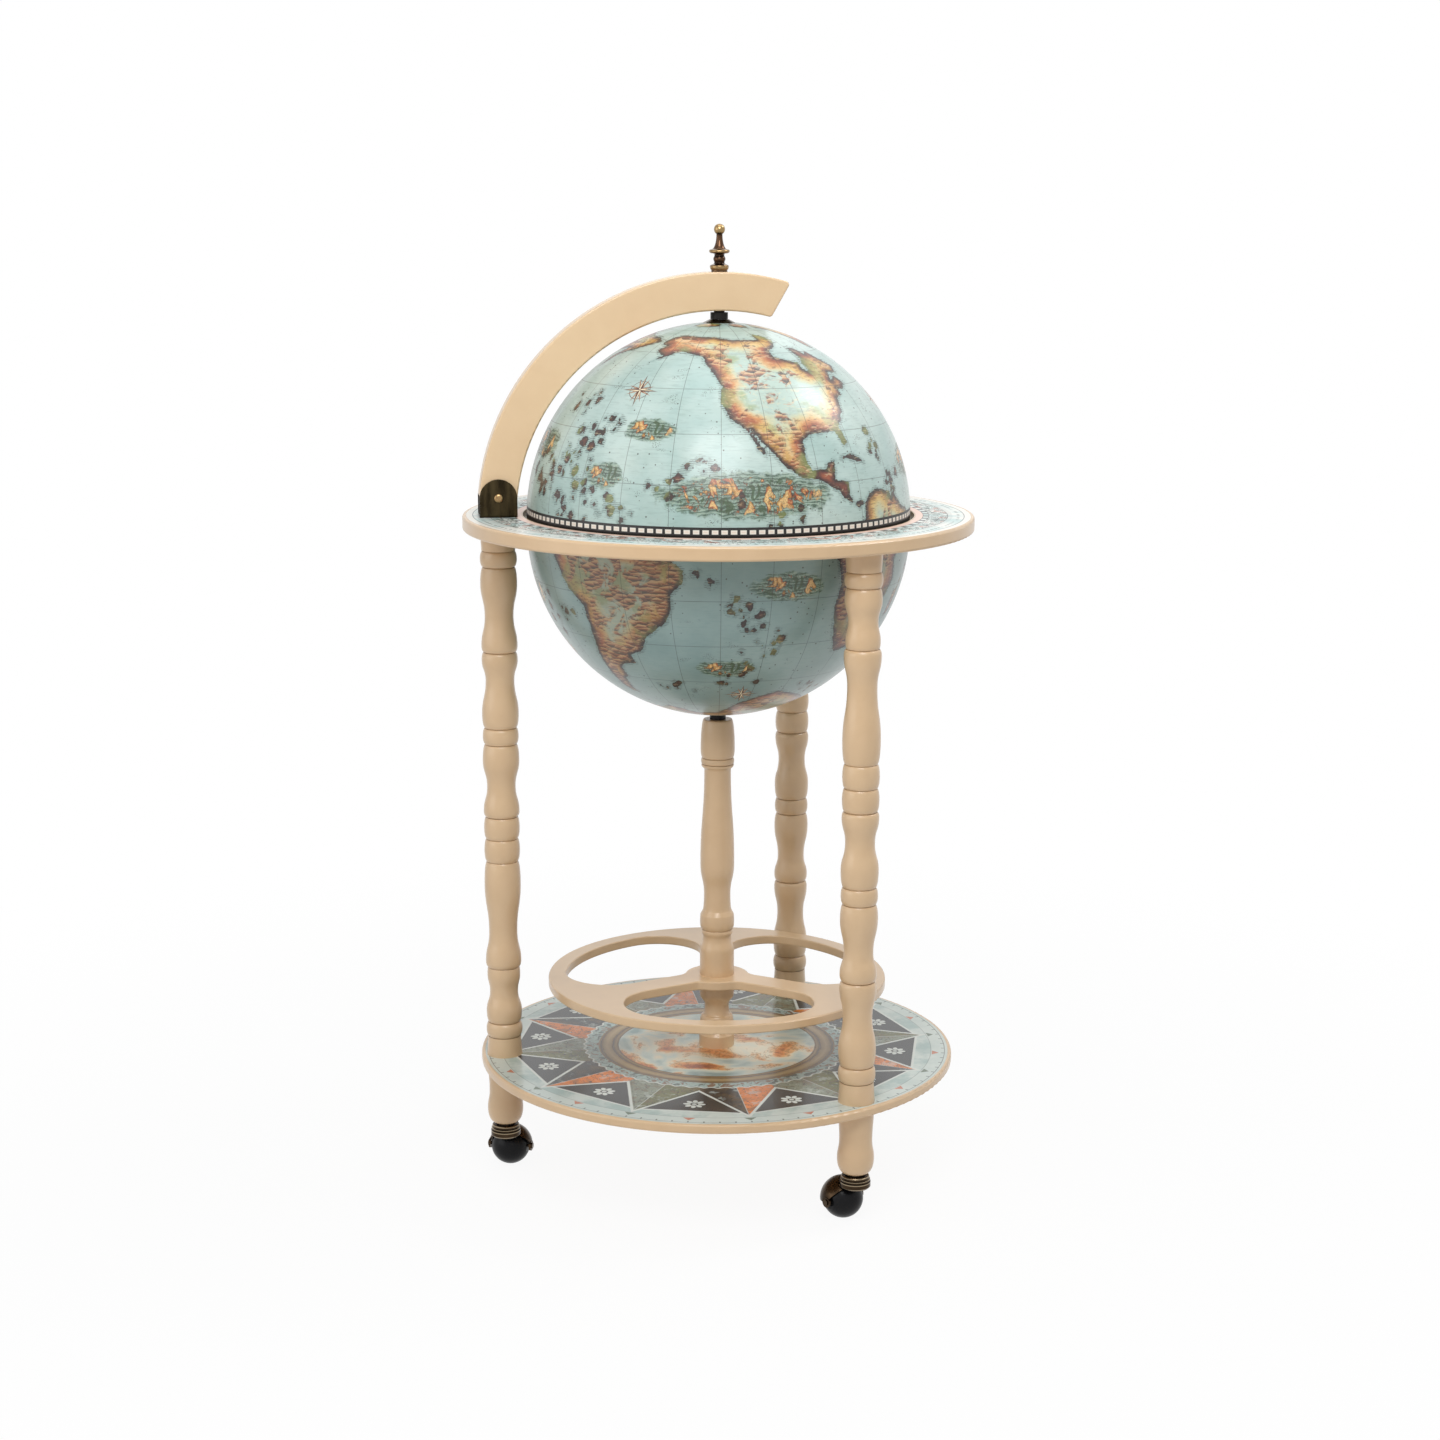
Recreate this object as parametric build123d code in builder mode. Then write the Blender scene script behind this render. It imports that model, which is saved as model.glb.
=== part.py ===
from build123d import *
import os
from dataclasses import dataclass
from itertools import pairwise
from math import cos, hypot, radians, sin, sqrt

# A globe bar: a globe that opens at its equator, hung in a round table ring on three turned legs,
# over a round shelf on ball casters. Millimetres, +Z up, origin on the floor under the globe's axis.
# The meridian arm and its hinge are on the -X side, over the left leg.

# ---------------------------------------------------------------- driving dimensions
# Globe
globe_radius = 165.0
globe_wall = 3.0
globe_rim_height = 7.6        # straight rim of the lower half above its equator
lid_gap = 0.4                 # between the two rims when the globe is shut
trim_height = 3.3             # black edge ring under the upper half
trim_width = 4.5
globe_ring_gap = 3.5          # between the globe and the hole in the table ring
globe_drop = 10.0             # equator of the lower half below the top of the table ring

# Boards and their printed sheets
leg_offset = 25.0             # leg axes outside the globe
ring_margin = 30.0            # table ring outside the leg axes
base_margin = 20.0            # shelf outside the leg axes
ring_board = 11.5
base_thickness = 7.5
board_rounding = 2.0
print_thickness = 0.5
print_inset = 1.2             # flat lip of the board round its let-in sheet

# Legs, feet and casters
leg_length = 467.0
leg_radius = 15.85
foot_length = 55.0
foot_radius = 15.7
caster_height = 45.0          # floor to the underside of a foot
caster_trail = 15.0           # swivel axis to wheel centre
wheel_radius = 17.2
wheel_half_width = 16.0
hood_gap = 1.1
hood_wall = 1.3
hood_front_angle = 50.0       # slope of the hood's open front, from the axle up
hood_back_angle = 8.0         # how far the hood reaches below the axle behind
collar_radius = 13.1
collar_height = 11.1
neck_radius = 8.4
neck_height = 2.0
swivel_gap = 0.3
stem_radius = 4.0
stem_reach = 25.0             # stem inside the foot
stem_head_radius = 5.6
stem_head_height = 1.3
socket_wall = 1.0
axle_radius = 1.5
axle_head_radius = 2.6
axle_head_height = 1.0
lug_radius = 4.5

# Column and bottle ring
column_radius = 15.2
column_cap_length = 40.0      # bead and swell at the column's upper end
bottle_ring_height = 58.0     # shelf to the underside of the bottle ring
bottle_ring_thickness = 8.0
bottle_ring_radius = 150.0
bottle_ring_rim = 15.0
bottle_hub_radius = 28.0
bottle_spoke_width = 26.0
bottle_hole_corner = 40.0
bottle_hub_corner = 14.0
bottle_edge_rounding = 1.2
bottle_ring_turn = -97.0      # direction of its front hole
spacer_radius = 7.0
spacer_length = 5.7
pivot_gap = 0.3

# Inside the lower half
rack_drop = 43.0              # top of the glass rack below the equator
rack_thickness = 6.0
rack_gap = 0.5
bottle_hole_radius = 46.0
glass_hole_radius = 32.0
glass_margin = 17.0           # between a glass hole and the rack's edge
glass_count = 6
hoop_height = 10.0
hoop_width = 8.5
pole_block_radius = 30.0
pole_block_height = 10.0

# Meridian arm and its hinge
arm_width = 32.4
arm_thickness = 22.0
arm_tip_angle = 16.8          # outer corner of the tip, from the vertical
arm_tip_slant = 2.4           # how much earlier the inner corner ends
arm_tip_rounding = 3.0
arm_edge_rounding = 1.5
arm_open_angle = 70.0         # where the heel meets the bracket
heel_gap = 0.3
pin_height = 16.5             # above the table ring
bracket_plate = 2.0
bracket_width = 32.0
bracket_side_gap = 0.3
bolt_radius = 2.5
bolt_head_radius = 4.0
bolt_head_height = 2.4
bolt_end = 5.5

# Poles
cap_radius = 13.9
cap_top_radius = 8.2
cap_height = 2.8
bush_radius = 7.5
knob_radius = 7.5
knob_neck_radius = 4.6
knob_neck_height = 1.6
pole_rod_radius = 3.0
pole_washer_radius = 14.0
pole_washer_height = 3.5
finial_height = 40.0
finial_flange = 8.75
finial_ball = 4.7
finial_thread = 11.0          # pole rod inside the finial

# Fasteners and fits
rod_radius = 4.0
stud_radius = 3.0
stud_foot_depth = 16.0
stud_leg_depth = 24.0
dowel_radius = 4.0
dowel_leg_depth = 20.0
dowel_ring_depth = 9.0
screw_radius = 1.5
screw_head_radius = 2.9
screw_head_height = 1.4
screw_length = 8.5
screw_spacing_x = 20.0
screw_spacing_y = 13.0
rack_screw_count = 3
rack_screw_length = 12.0
washer_thickness = 1.6
washer_radius = 12.0
nut_height = 6.5
nut_radius = 7.5
small_nut_height = 5.0
small_nut_radius = 5.8
thread_end = 3.0
fit_clearance = 0.05
running_clearance = 0.05

# Directions about the globe's axis, and where each caster trails at rest
LEG_ANGLES = {"left": 180.0, "right": -60.0, "rear": 60.0}
TRAIL_ANGLES = {"left": 70.0, "right": 121.0, "rear": 95.0}
UPSIDE_DOWN = {"left"}        # this leg stands on its other end

# ---------------------------------------------------------------- levels and radii that follow
foot_bottom = caster_height
base_bottom = foot_bottom + foot_length
board_top = base_bottom + base_thickness
base_top = board_top + print_thickness
ring_bottom = base_top + leg_length
ring_board_top = ring_bottom + ring_board
ring_top = ring_board_top + print_thickness
bowl_centre = ring_top - globe_drop
lid_centre = bowl_centre + globe_rim_height + lid_gap
globe_inside = globe_radius - globe_wall
leg_circle = globe_radius + leg_offset
ring_hole_radius = globe_radius + globe_ring_gap
ring_radius = leg_circle + ring_margin
base_radius = leg_circle + base_margin
base_print_radius = base_radius - board_rounding - print_inset
ring_print_radius = ring_radius - board_rounding - print_inset
ring_print_hole = ring_hole_radius + print_inset
bottle_ring_bottom = base_top + bottle_ring_height
bottle_ring_top = bottle_ring_bottom + bottle_ring_thickness
spacer_bottom = bowl_centre - globe_radius - pivot_gap - spacer_length
rack_top = bowl_centre - rack_drop
rack_bottom = rack_top - rack_thickness
pin_x = -leg_circle
pin_z = ring_top + pin_height
arm_middle = hypot(pin_x, pin_z - lid_centre)
arm_inside = arm_middle - arm_width / 2
arm_outside = arm_middle + arm_width / 2
arm_top = lid_centre + arm_outside
ear_inside = arm_thickness / 2 + bracket_side_gap
ear_outside = ear_inside + bracket_plate
rod_hole = rod_radius + running_clearance
pole_hole = pole_rod_radius + running_clearance
hood_inside = wheel_radius + hood_gap
hood_outside = hood_inside + hood_wall
collar_top = caster_height - neck_height - swivel_gap
collar_bottom = collar_top - collar_height


# ---------------------------------------------------------------- turned outlines
@dataclass
class Collar:
    """A straight or tapered band; the radii are at its lower and upper edge."""

    length: float
    low: float
    high: float

    def stations(self, start, length):
        return [(start, self.low, False), (start + length, self.high, False)]


@dataclass
class Bead:
    """A round ring between two grooves."""

    length: float
    radius: float

    def stations(self, start, length):
        return [(start + length / 2, self.radius, True)]


@dataclass
class Vase:
    """Two swells with a waist between them; a length of None takes what the other elements leave."""

    length: float | None
    low: float
    low_reach: float              # from the lower end to the first swell
    waist: float
    waist_share: float            # of the way from the first swell to the second
    high: float
    high_reach: float             # from the second swell to the upper end

    def stations(self, start, length):
        first = start + self.low_reach
        last = start + length - self.high_reach
        middle = first + (last - first) * self.waist_share
        return [(first, self.low, True), (middle, self.waist, True), (last, self.high, True)]


def stack(elements, total, groove):
    """Outline stations (height, radius, flat) of elements stacked end to end, with grooves between."""
    left_over = total - sum(element.length for element in elements if element.length)
    stations = []
    start = 0.0
    for element in elements:
        length = element.length or left_over
        if stations:
            stations.append((start, groove, False))
        stations += element.stations(start, length)
        start += length
    return stations


def upside_down(stations, total):
    """The same outline stood on its other end."""
    return [(total - height, radius, flat) for height, radius, flat in reversed(stations)]


def draw_step(lower, upper):
    """Draws the outline between two stations: a line, a quarter round or an S between flat stations."""
    z0, r0, flat0 = lower
    z1, r1, flat1 = upper
    rise = z1 - z0
    quarter = 0.55
    if flat0 and flat1:
        Bezier((r0, z0), (r0, z0 + rise / 2), (r1, z1 - rise / 2), (r1, z1))
    elif flat1:
        Bezier((r0, z0), (r0 + quarter * (r1 - r0), z0), (r1, z1 - quarter * rise), (r1, z1))
    elif flat0:
        Bezier((r0, z0), (r0, z0 + quarter * rise), (r1 + quarter * (r0 - r1), z1), (r1, z1))
    else:
        Line((r0, z0), (r1, z1))


def turn(foot, stations, bore=0.0):
    """Revolves an outline about the vertical axis through foot, with a through bore if one is given."""
    first, last = stations[0], stations[-1]
    with BuildSketch(Plane(origin=foot, x_dir=(1, 0, 0), z_dir=(0, -1, 0))) as outline_face:
        with BuildLine():
            for lower, upper in pairwise(stations):
                draw_step(lower, upper)
            Line((last[1], last[0]), (bore, last[0]))
            Line((bore, last[0]), (bore, first[0]))
            Line((bore, first[0]), (first[1], first[0]))
        make_face()
    revolve(outline_face.sketch, axis=Axis(foot, (0, 0, 1)))


def corners(*points):
    """Stations of a plain outline of straight lines, from (height, radius) pairs."""
    return [(height, radius, False) for height, radius in points]


# ---------------------------------------------------------------- small helpers
def polar(radius, angle, centre=(0.0, 0.0)):
    """A point at an angle in degrees about a centre."""
    return (centre[0] + radius * cos(radians(angle)), centre[1] + radius * sin(radians(angle)))


def drop(radius, offset):
    """Height of a sphere's surface over its centre, this far from its axis."""
    return sqrt(radius**2 - offset**2)


def arc_about(centre, start, end):
    """Draws the short arc about a centre from start to end."""
    radius = hypot(start[0] - centre[0], start[1] - centre[1])
    half_way = ((start[0] + end[0]) / 2 - centre[0], (start[1] + end[1]) / 2 - centre[1])
    stretch = radius / hypot(*half_way)
    ThreePointArc(start, (centre[0] + stretch * half_way[0], centre[1] + stretch * half_way[1]), end)


def under_legs(height):
    """A place at this height on each leg's axis."""
    return [(*polar(leg_circle, angle), height) for angle in LEG_ANGLES.values()]


def front_plane(x, z):
    """The upright plane that faces -Y, with its origin at (x, z) on the globe's middle plane."""
    return Plane(origin=(x, 0, z), x_dir=(1, 0, 0), z_dir=(0, -1, 0))


def save(piece, name):
    """Labels a finished piece and writes its STEP file."""
    piece.part.label = name
    export_step(piece.part, f"parts/{name}.step")


os.makedirs("parts", exist_ok=True)

# ---------------------------------------------------------------- shelf and table ring
with BuildPart() as base_board:
    with BuildSketch(Plane.XY.offset(base_bottom)):
        Circle(base_radius)
        Circle(rod_hole, mode=Mode.SUBTRACT)
        with PolarLocations(leg_circle, len(LEG_ANGLES), start_angle=LEG_ANGLES["rear"]):
            Circle(stud_radius + fit_clearance, mode=Mode.SUBTRACT)
    extrude(amount=base_thickness + print_thickness)
    fillet(base_board.edges().filter_by(GeomType.CIRCLE).sort_by(SortBy.RADIUS)[-2:], board_rounding)
    with BuildSketch(Plane.XY.offset(board_top)):
        Circle(base_print_radius + fit_clearance)
    extrude(amount=print_thickness, mode=Mode.SUBTRACT)
save(base_board, "base_board")

with BuildPart() as base_print:
    with BuildSketch(Plane.XY.offset(board_top)):
        Circle(base_print_radius)
        Circle(rod_hole, mode=Mode.SUBTRACT)
        with PolarLocations(leg_circle, len(LEG_ANGLES), start_angle=LEG_ANGLES["rear"]):
            Circle(stud_radius + fit_clearance, mode=Mode.SUBTRACT)
    extrude(amount=print_thickness)
save(base_print, "base_print")

screw_spots = [(x, y) for x in (-screw_spacing_x / 2, screw_spacing_x / 2)
               for y in (-screw_spacing_y / 2, screw_spacing_y / 2)]

with BuildPart() as table_ring:
    with BuildSketch(Plane.XY.offset(ring_bottom)):
        Circle(ring_radius)
        Circle(ring_hole_radius, mode=Mode.SUBTRACT)
    extrude(amount=ring_board + print_thickness)
    fillet(table_ring.edges().filter_by(GeomType.CIRCLE).sort_by(SortBy.RADIUS)[-2:], board_rounding)
    with BuildSketch(Plane.XY.offset(ring_board_top)):
        Circle(ring_print_radius + fit_clearance)
        Circle(ring_print_hole - fit_clearance, mode=Mode.SUBTRACT)
    extrude(amount=print_thickness, mode=Mode.SUBTRACT)
    with Locations(*under_legs(ring_bottom)):
        Cylinder(dowel_radius + fit_clearance, dowel_ring_depth,
                 align=(Align.CENTER, Align.CENTER, Align.MIN), mode=Mode.SUBTRACT)
    with BuildSketch(Plane(origin=(pin_x, 0, ring_board_top))):
        with Locations(*screw_spots):
            Circle(screw_radius + fit_clearance)
    extrude(amount=-screw_length, mode=Mode.SUBTRACT)
save(table_ring, "table_ring")

with BuildPart() as ring_print:
    with BuildSketch(Plane.XY.offset(ring_board_top)):
        Circle(ring_print_radius)
        Circle(ring_print_hole, mode=Mode.SUBTRACT)
    extrude(amount=print_thickness)
    with BuildSketch(Plane(origin=(pin_x, 0, ring_board_top))):
        with Locations(*screw_spots):
            Circle(screw_radius + fit_clearance)
    extrude(amount=print_thickness, mode=Mode.SUBTRACT)
save(ring_print, "ring_print")

# ---------------------------------------------------------------- turned legs and feet
leg_groove = leg_radius - 2.5
leg_neck = leg_radius - 1.4
leg_flare = leg_radius - 0.3
leg_waist = leg_radius - 3.5

leg_elements = [
    Collar(17.5, leg_flare, leg_neck),
    Bead(14.0, leg_radius),
    Vase(73.8, leg_radius, 13.5, leg_waist, 0.53, leg_flare, 5.3),
    Vase(66.5, leg_flare, 6.2, leg_waist, 0.38, leg_radius, 11.8),
    Bead(14.4, leg_flare),
    Vase(64.4, leg_radius, 13.8, leg_waist, 0.52, leg_flare, 4.6),
    Bead(19.8, leg_flare),
    Bead(20.3, leg_flare),
    Vase(None, leg_radius, 19.0, leg_waist, 0.63, leg_flare, 5.0),
    Vase(50.3, leg_neck, 6.0, leg_waist, 0.48, leg_flare, 9.8),
    Bead(13.2, leg_radius),
    Collar(17.0, leg_neck, leg_flare),
]
leg_outline = stack(leg_elements, leg_length, leg_groove)

for side, angle in LEG_ANGLES.items():
    leg_foot = (*polar(leg_circle, angle), base_top)
    outline = upside_down(leg_outline, leg_length) if side in UPSIDE_DOWN else leg_outline
    with BuildPart() as leg:
        turn(leg_foot, outline)
        with Locations(leg_foot):
            Cylinder(stud_radius + fit_clearance, stud_leg_depth,
                     align=(Align.CENTER, Align.CENTER, Align.MIN), mode=Mode.SUBTRACT)
        with Locations((leg_foot[0], leg_foot[1], ring_bottom)):
            Cylinder(dowel_radius + fit_clearance, dowel_leg_depth,
                     align=(Align.CENTER, Align.CENTER, Align.MAX), mode=Mode.SUBTRACT)
    save(leg, f"leg_{side}")

foot_swell = 12.6
foot_waist = 29.0
foot_outline = [
    (0.0, foot_radius - 5.7, False),
    (foot_swell, foot_radius, True),
    (foot_waist, foot_radius - 1.7, True),
    (foot_length, foot_radius - 0.7, True),
]
socket_radius = stem_radius + fit_clearance + socket_wall

for side, angle in LEG_ANGLES.items():
    foot_seat = (*polar(leg_circle, angle), foot_bottom)
    with BuildPart() as foot:
        turn(foot_seat, foot_outline)
        with Locations(foot_seat):
            Cylinder(socket_radius + fit_clearance, stem_reach + thread_end,
                     align=(Align.CENTER, Align.CENTER, Align.MIN), mode=Mode.SUBTRACT)
        with Locations((foot_seat[0], foot_seat[1], base_bottom)):
            Cylinder(stud_radius + fit_clearance, stud_foot_depth,
                     align=(Align.CENTER, Align.CENTER, Align.MAX), mode=Mode.SUBTRACT)
    save(foot, f"foot_{side}")

with BuildPart() as leg_studs:
    with Locations(*under_legs(base_bottom - stud_foot_depth)):
        Cylinder(stud_radius, stud_foot_depth + base_thickness + print_thickness + stud_leg_depth,
                 align=(Align.CENTER, Align.CENTER, Align.MIN))
save(leg_studs, "leg_studs")

with BuildPart() as leg_dowels:
    with Locations(*under_legs(ring_bottom - dowel_leg_depth)):
        Cylinder(dowel_radius, dowel_leg_depth + dowel_ring_depth,
                 align=(Align.CENTER, Align.CENTER, Align.MIN))
save(leg_dowels, "leg_dowels")

# ---------------------------------------------------------------- ball casters
with BuildPart() as stem_sockets:
    with Locations(*under_legs(foot_bottom)):
        Cylinder(socket_radius, stem_reach, align=(Align.CENTER, Align.CENTER, Align.MIN))
        Cylinder(stem_radius + fit_clearance, stem_reach,
                 align=(Align.CENTER, Align.CENTER, Align.MIN), mode=Mode.SUBTRACT)
save(stem_sockets, "stem_sockets")

stem_head_top = collar_bottom + stem_head_height + 2 * swivel_gap
stem_outline = corners(
    (stem_head_top - stem_head_height, stem_head_radius),
    (stem_head_top, stem_head_radius),
    (stem_head_top, stem_radius),
    (foot_bottom - neck_height, stem_radius),
    (foot_bottom - neck_height, neck_radius),
    (foot_bottom, neck_radius),
    (foot_bottom, stem_radius),
    (foot_bottom + stem_reach, stem_radius),
)
with BuildPart() as caster_stems:
    for place in under_legs(0):
        turn(place, stem_outline)
save(caster_stems, "caster_stems")

collar_groove = 0.7
low_band_share = 0.5
low_band_top = collar_bottom + low_band_share * collar_height
middle_band_top = low_band_top + 0.2 * collar_height
collar_outline = corners(
    (collar_bottom, collar_radius - 1.2),
    (collar_bottom + 1.4, collar_radius),
    (low_band_top, collar_radius),
    (low_band_top + collar_groove / 2, collar_radius - 1.0),
    (low_band_top + collar_groove, collar_radius - 0.5),
    (middle_band_top, collar_radius - 0.5),
    (middle_band_top + collar_groove / 2, collar_radius - 1.8),
    (middle_band_top + collar_groove, collar_radius - 1.2),
    (collar_top - 0.8, collar_radius - 1.2),
    (collar_top, collar_radius - 2.0),
)

for side, angle in LEG_ANGLES.items():
    trail = TRAIL_ANGLES[side]
    leg_x, leg_y = polar(leg_circle, angle)
    wheel_centre = (*polar(caster_trail, trail, (leg_x, leg_y)), wheel_radius)
    along = (cos(radians(trail)), sin(radians(trail)), 0)
    across = (along[1], -along[0], 0)
    side_plane = Plane(origin=wheel_centre, x_dir=along, z_dir=across)
    far = 2 * hood_outside

    with BuildPart() as dome:
        with Locations(wheel_centre):
            Sphere(hood_outside)
        with BuildSketch(side_plane):
            Polygon((0, 0), polar(far, -hood_back_angle), polar(far, 30), polar(far, 90),
                    polar(far, 180 - hood_front_angle), align=None)
        extrude(amount=far, both=True, mode=Mode.INTERSECT)

    with BuildPart() as caster_hood:
        turn((leg_x, leg_y, 0), collar_outline)
        add(dome.part)
        with BuildSketch(side_plane):
            Circle(lug_radius)
        extrude(amount=hood_outside, both=True)
        with Locations(wheel_centre):
            Sphere(hood_inside, mode=Mode.SUBTRACT)
        with BuildSketch(side_plane):
            Circle(axle_radius + fit_clearance)
        extrude(amount=far, both=True, mode=Mode.SUBTRACT)
        with Locations((leg_x, leg_y, collar_top)):
            Cylinder(stem_radius + running_clearance, 2 * collar_height, mode=Mode.SUBTRACT)
        with Locations((leg_x, leg_y, stem_head_top + swivel_gap)):
            Cylinder(stem_head_radius + swivel_gap, collar_height,
                     align=(Align.CENTER, Align.CENTER, Align.MAX), mode=Mode.SUBTRACT)
    save(caster_hood, f"caster_hood_{side}")

    with BuildPart() as caster_axle:
        with BuildSketch(side_plane):
            Circle(axle_radius)
        extrude(amount=hood_outside, both=True)
        for end in (-1, 1):
            with BuildSketch(side_plane.offset(end * hood_outside)):
                Circle(axle_head_radius)
            extrude(amount=end * axle_head_height)
    save(caster_axle, f"caster_axle_{side}")

    wheel_bore = axle_radius + running_clearance
    wheel_edge = drop(wheel_radius, wheel_half_width)
    with BuildPart() as caster_wheel:
        with BuildSketch(Plane(origin=wheel_centre, x_dir=along, z_dir=(0, 0, 1))):
            with BuildLine():
                arc_about((0, 0), (wheel_edge, -wheel_half_width), (wheel_edge, wheel_half_width))
                Polyline((wheel_edge, wheel_half_width), (wheel_bore, wheel_half_width),
                         (wheel_bore, -wheel_half_width), (wheel_edge, -wheel_half_width))
            make_face()
        revolve(axis=Axis(wheel_centre, across))
    save(caster_wheel, f"caster_wheel_{side}")

# ---------------------------------------------------------------- column and bottle ring
column_groove = column_radius - 1.9
column_waist = column_radius - 3.5
column_low_outline = [
    (0.0, column_radius + 0.5, False),
    (10.5, column_radius + 0.5, False),
    (15.0, column_radius - 3.1, False),
    (22.0, column_radius - 0.3, True),
    (28.5, column_radius - 2.2, False),
    (37.0, column_radius - 4.5, True),
    (bottle_ring_height - 10.0, column_radius, True),
    (bottle_ring_height, column_radius, False),
]
with BuildPart() as column_lower:
    turn((0, 0, base_top), column_low_outline, rod_hole)
save(column_lower, "column_lower")

column_top = spacer_bottom - bottle_ring_top
column_cap = column_top - column_cap_length
column_up_outline = [
    (0.0, column_radius, False),
    (21.5, column_radius, True),
    (34.0, column_radius - 2.7, True),
    (39.5, column_radius - 1.4, True),
    (41.5, column_groove, False),
    (48.5, column_radius, True),
    (55.5, column_radius - 0.6, False),
    (58.5, column_radius - 2.1, False),
    (73.0, column_waist, True),
    (102.0, column_radius - 0.2, True),
    (column_cap - 5.5, column_waist, True),
    (column_cap - 1.0, column_radius - 0.9, True),
    (column_cap, column_groove, False),
    (column_cap + 2.5, column_radius - 0.6, True),
    (column_cap + 5.5, column_groove, False),
    (column_cap + 13.0, column_radius - 0.2, True),
    (column_top, column_radius - 3.0, False),
]
with BuildPart() as column_upper:
    turn((0, 0, bottle_ring_top), column_up_outline, rod_hole)
save(column_upper, "column_upper")

bottle_hole_reach = bottle_ring_radius - bottle_ring_rim
with BuildSketch(Plane.XY.offset(bottle_ring_bottom)) as bottle_holes:
    Circle(bottle_hole_reach)
    Circle(bottle_hub_radius, mode=Mode.SUBTRACT)
    with PolarLocations(bottle_hole_reach, 3, start_angle=bottle_ring_turn + 60):
        Rectangle(2 * bottle_hole_reach, bottle_spoke_width, mode=Mode.SUBTRACT)
    rim_corners = [v for v in bottle_holes.vertices() if hypot(v.X, v.Y) > bottle_hole_reach - 1]
    fillet(rim_corners, bottle_hole_corner)
    hub_corners = [v for v in bottle_holes.vertices() if hypot(v.X, v.Y) < bottle_hub_radius + 1]
    fillet(hub_corners, bottle_hub_corner)

with BuildPart() as bottle_ring:
    with BuildSketch(Plane.XY.offset(bottle_ring_bottom)):
        Circle(bottle_ring_radius)
        add(bottle_holes.sketch, mode=Mode.SUBTRACT)
    extrude(amount=bottle_ring_thickness)
    fillet(bottle_ring.edges().filter_by(Plane.XY), bottle_edge_rounding)
    with Locations((0, 0, bottle_ring_bottom)):
        Cylinder(rod_hole, 3 * bottle_ring_thickness, mode=Mode.SUBTRACT)
save(bottle_ring, "bottle_ring")

with BuildPart() as pivot_spacer:
    turn((0, 0, spacer_bottom), corners((0, spacer_radius), (spacer_length, spacer_radius)), rod_hole)
save(pivot_spacer, "pivot_spacer")

# ---------------------------------------------------------------- lower half of the globe
block_top = bowl_centre - globe_inside + pole_block_height
lower_nut_bottom = block_top + washer_thickness + pivot_gap
rod_bottom = base_bottom - washer_thickness - nut_height - thread_end
rod_top = lower_nut_bottom + nut_height + thread_end


def half_shell(centre, facing, cut, rim, hole):
    """Revolves half the globe, facing 1 up or -1 down, with its equator cut back or given a straight rim."""
    outside_pole = (hole, centre + facing * drop(globe_radius, hole))
    inside_pole = (hole, centre + facing * drop(globe_inside, hole))
    outside_edge = (drop(globe_radius, cut), centre + facing * cut)
    inside_edge = (drop(globe_inside, cut), centre + facing * cut)
    with BuildSketch(Plane.XZ) as wall:
        with BuildLine():
            arc_about((0, centre), outside_edge, outside_pole)
            Line(outside_pole, inside_pole)
            arc_about((0, centre), inside_pole, inside_edge)
            if rim:
                inside_rim = (inside_edge[0], inside_edge[1] - facing * rim)
                outside_rim = (outside_edge[0], outside_edge[1] - facing * rim)
                Polyline(inside_edge, inside_rim, outside_rim, outside_edge)
            else:
                Line(inside_edge, outside_edge)
        make_face()
    revolve(wall.sketch, axis=Axis.Z)


with BuildPart() as lower_shell:
    half_shell(bowl_centre, -1, 0.0, globe_rim_height, rod_hole)
save(lower_shell, "lower_shell")

seat_radius = globe_inside - fit_clearance
with BuildPart() as pole_block:
    with BuildSketch(Plane.XZ):
        with BuildLine():
            block_edge = (pole_block_radius, bowl_centre - drop(seat_radius, pole_block_radius))
            block_pole = (rod_hole, bowl_centre - drop(seat_radius, rod_hole))
            arc_about((0, bowl_centre), block_pole, block_edge)
            Polyline(block_edge, (pole_block_radius, block_top), (rod_hole, block_top), block_pole)
        make_face()
    revolve(axis=Axis.Z)
save(pole_block, "pole_block")

with BuildPart() as lower_pole_washer:
    turn((0, 0, block_top), corners((0, washer_radius), (washer_thickness, washer_radius)), rod_hole)
save(lower_pole_washer, "lower_pole_washer")


def nut(bottom, radius, height, bore):
    """A hexagon nut on the globe's axis."""
    with BuildSketch(Plane.XY.offset(bottom)) as hexagon:
        RegularPolygon(radius, 6)
        Circle(bore, mode=Mode.SUBTRACT)
    extrude(hexagon.sketch, amount=height)


with BuildPart() as lower_pole_nut:
    nut(lower_nut_bottom, nut_radius, nut_height, rod_radius + fit_clearance)
save(lower_pole_nut, "lower_pole_nut")

with BuildPart() as column_nut:
    nut(base_bottom - washer_thickness - nut_height, nut_radius, nut_height, rod_radius + fit_clearance)
    turn((0, 0, base_bottom - washer_thickness),
         corners((0, washer_radius), (washer_thickness, washer_radius)), rod_radius + fit_clearance)
save(column_nut, "column_nut")

with BuildPart() as column_rod:
    turn((0, 0, rod_bottom), corners((0, rod_radius), (rod_top - rod_bottom, rod_radius)))
save(column_rod, "column_rod")

hoop_bottom = rack_bottom - hoop_height
hoop_top_reach = drop(seat_radius, bowl_centre - rack_bottom)
hoop_bottom_reach = drop(seat_radius, bowl_centre - hoop_bottom)
hoop_inside = hoop_top_reach - hoop_width
rack_radius = drop(globe_inside, bowl_centre - rack_bottom) - rack_gap
rack_screw_circle = hoop_inside + 0.48 * hoop_width
glass_circle_radius = rack_radius - glass_margin - glass_hole_radius

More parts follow.
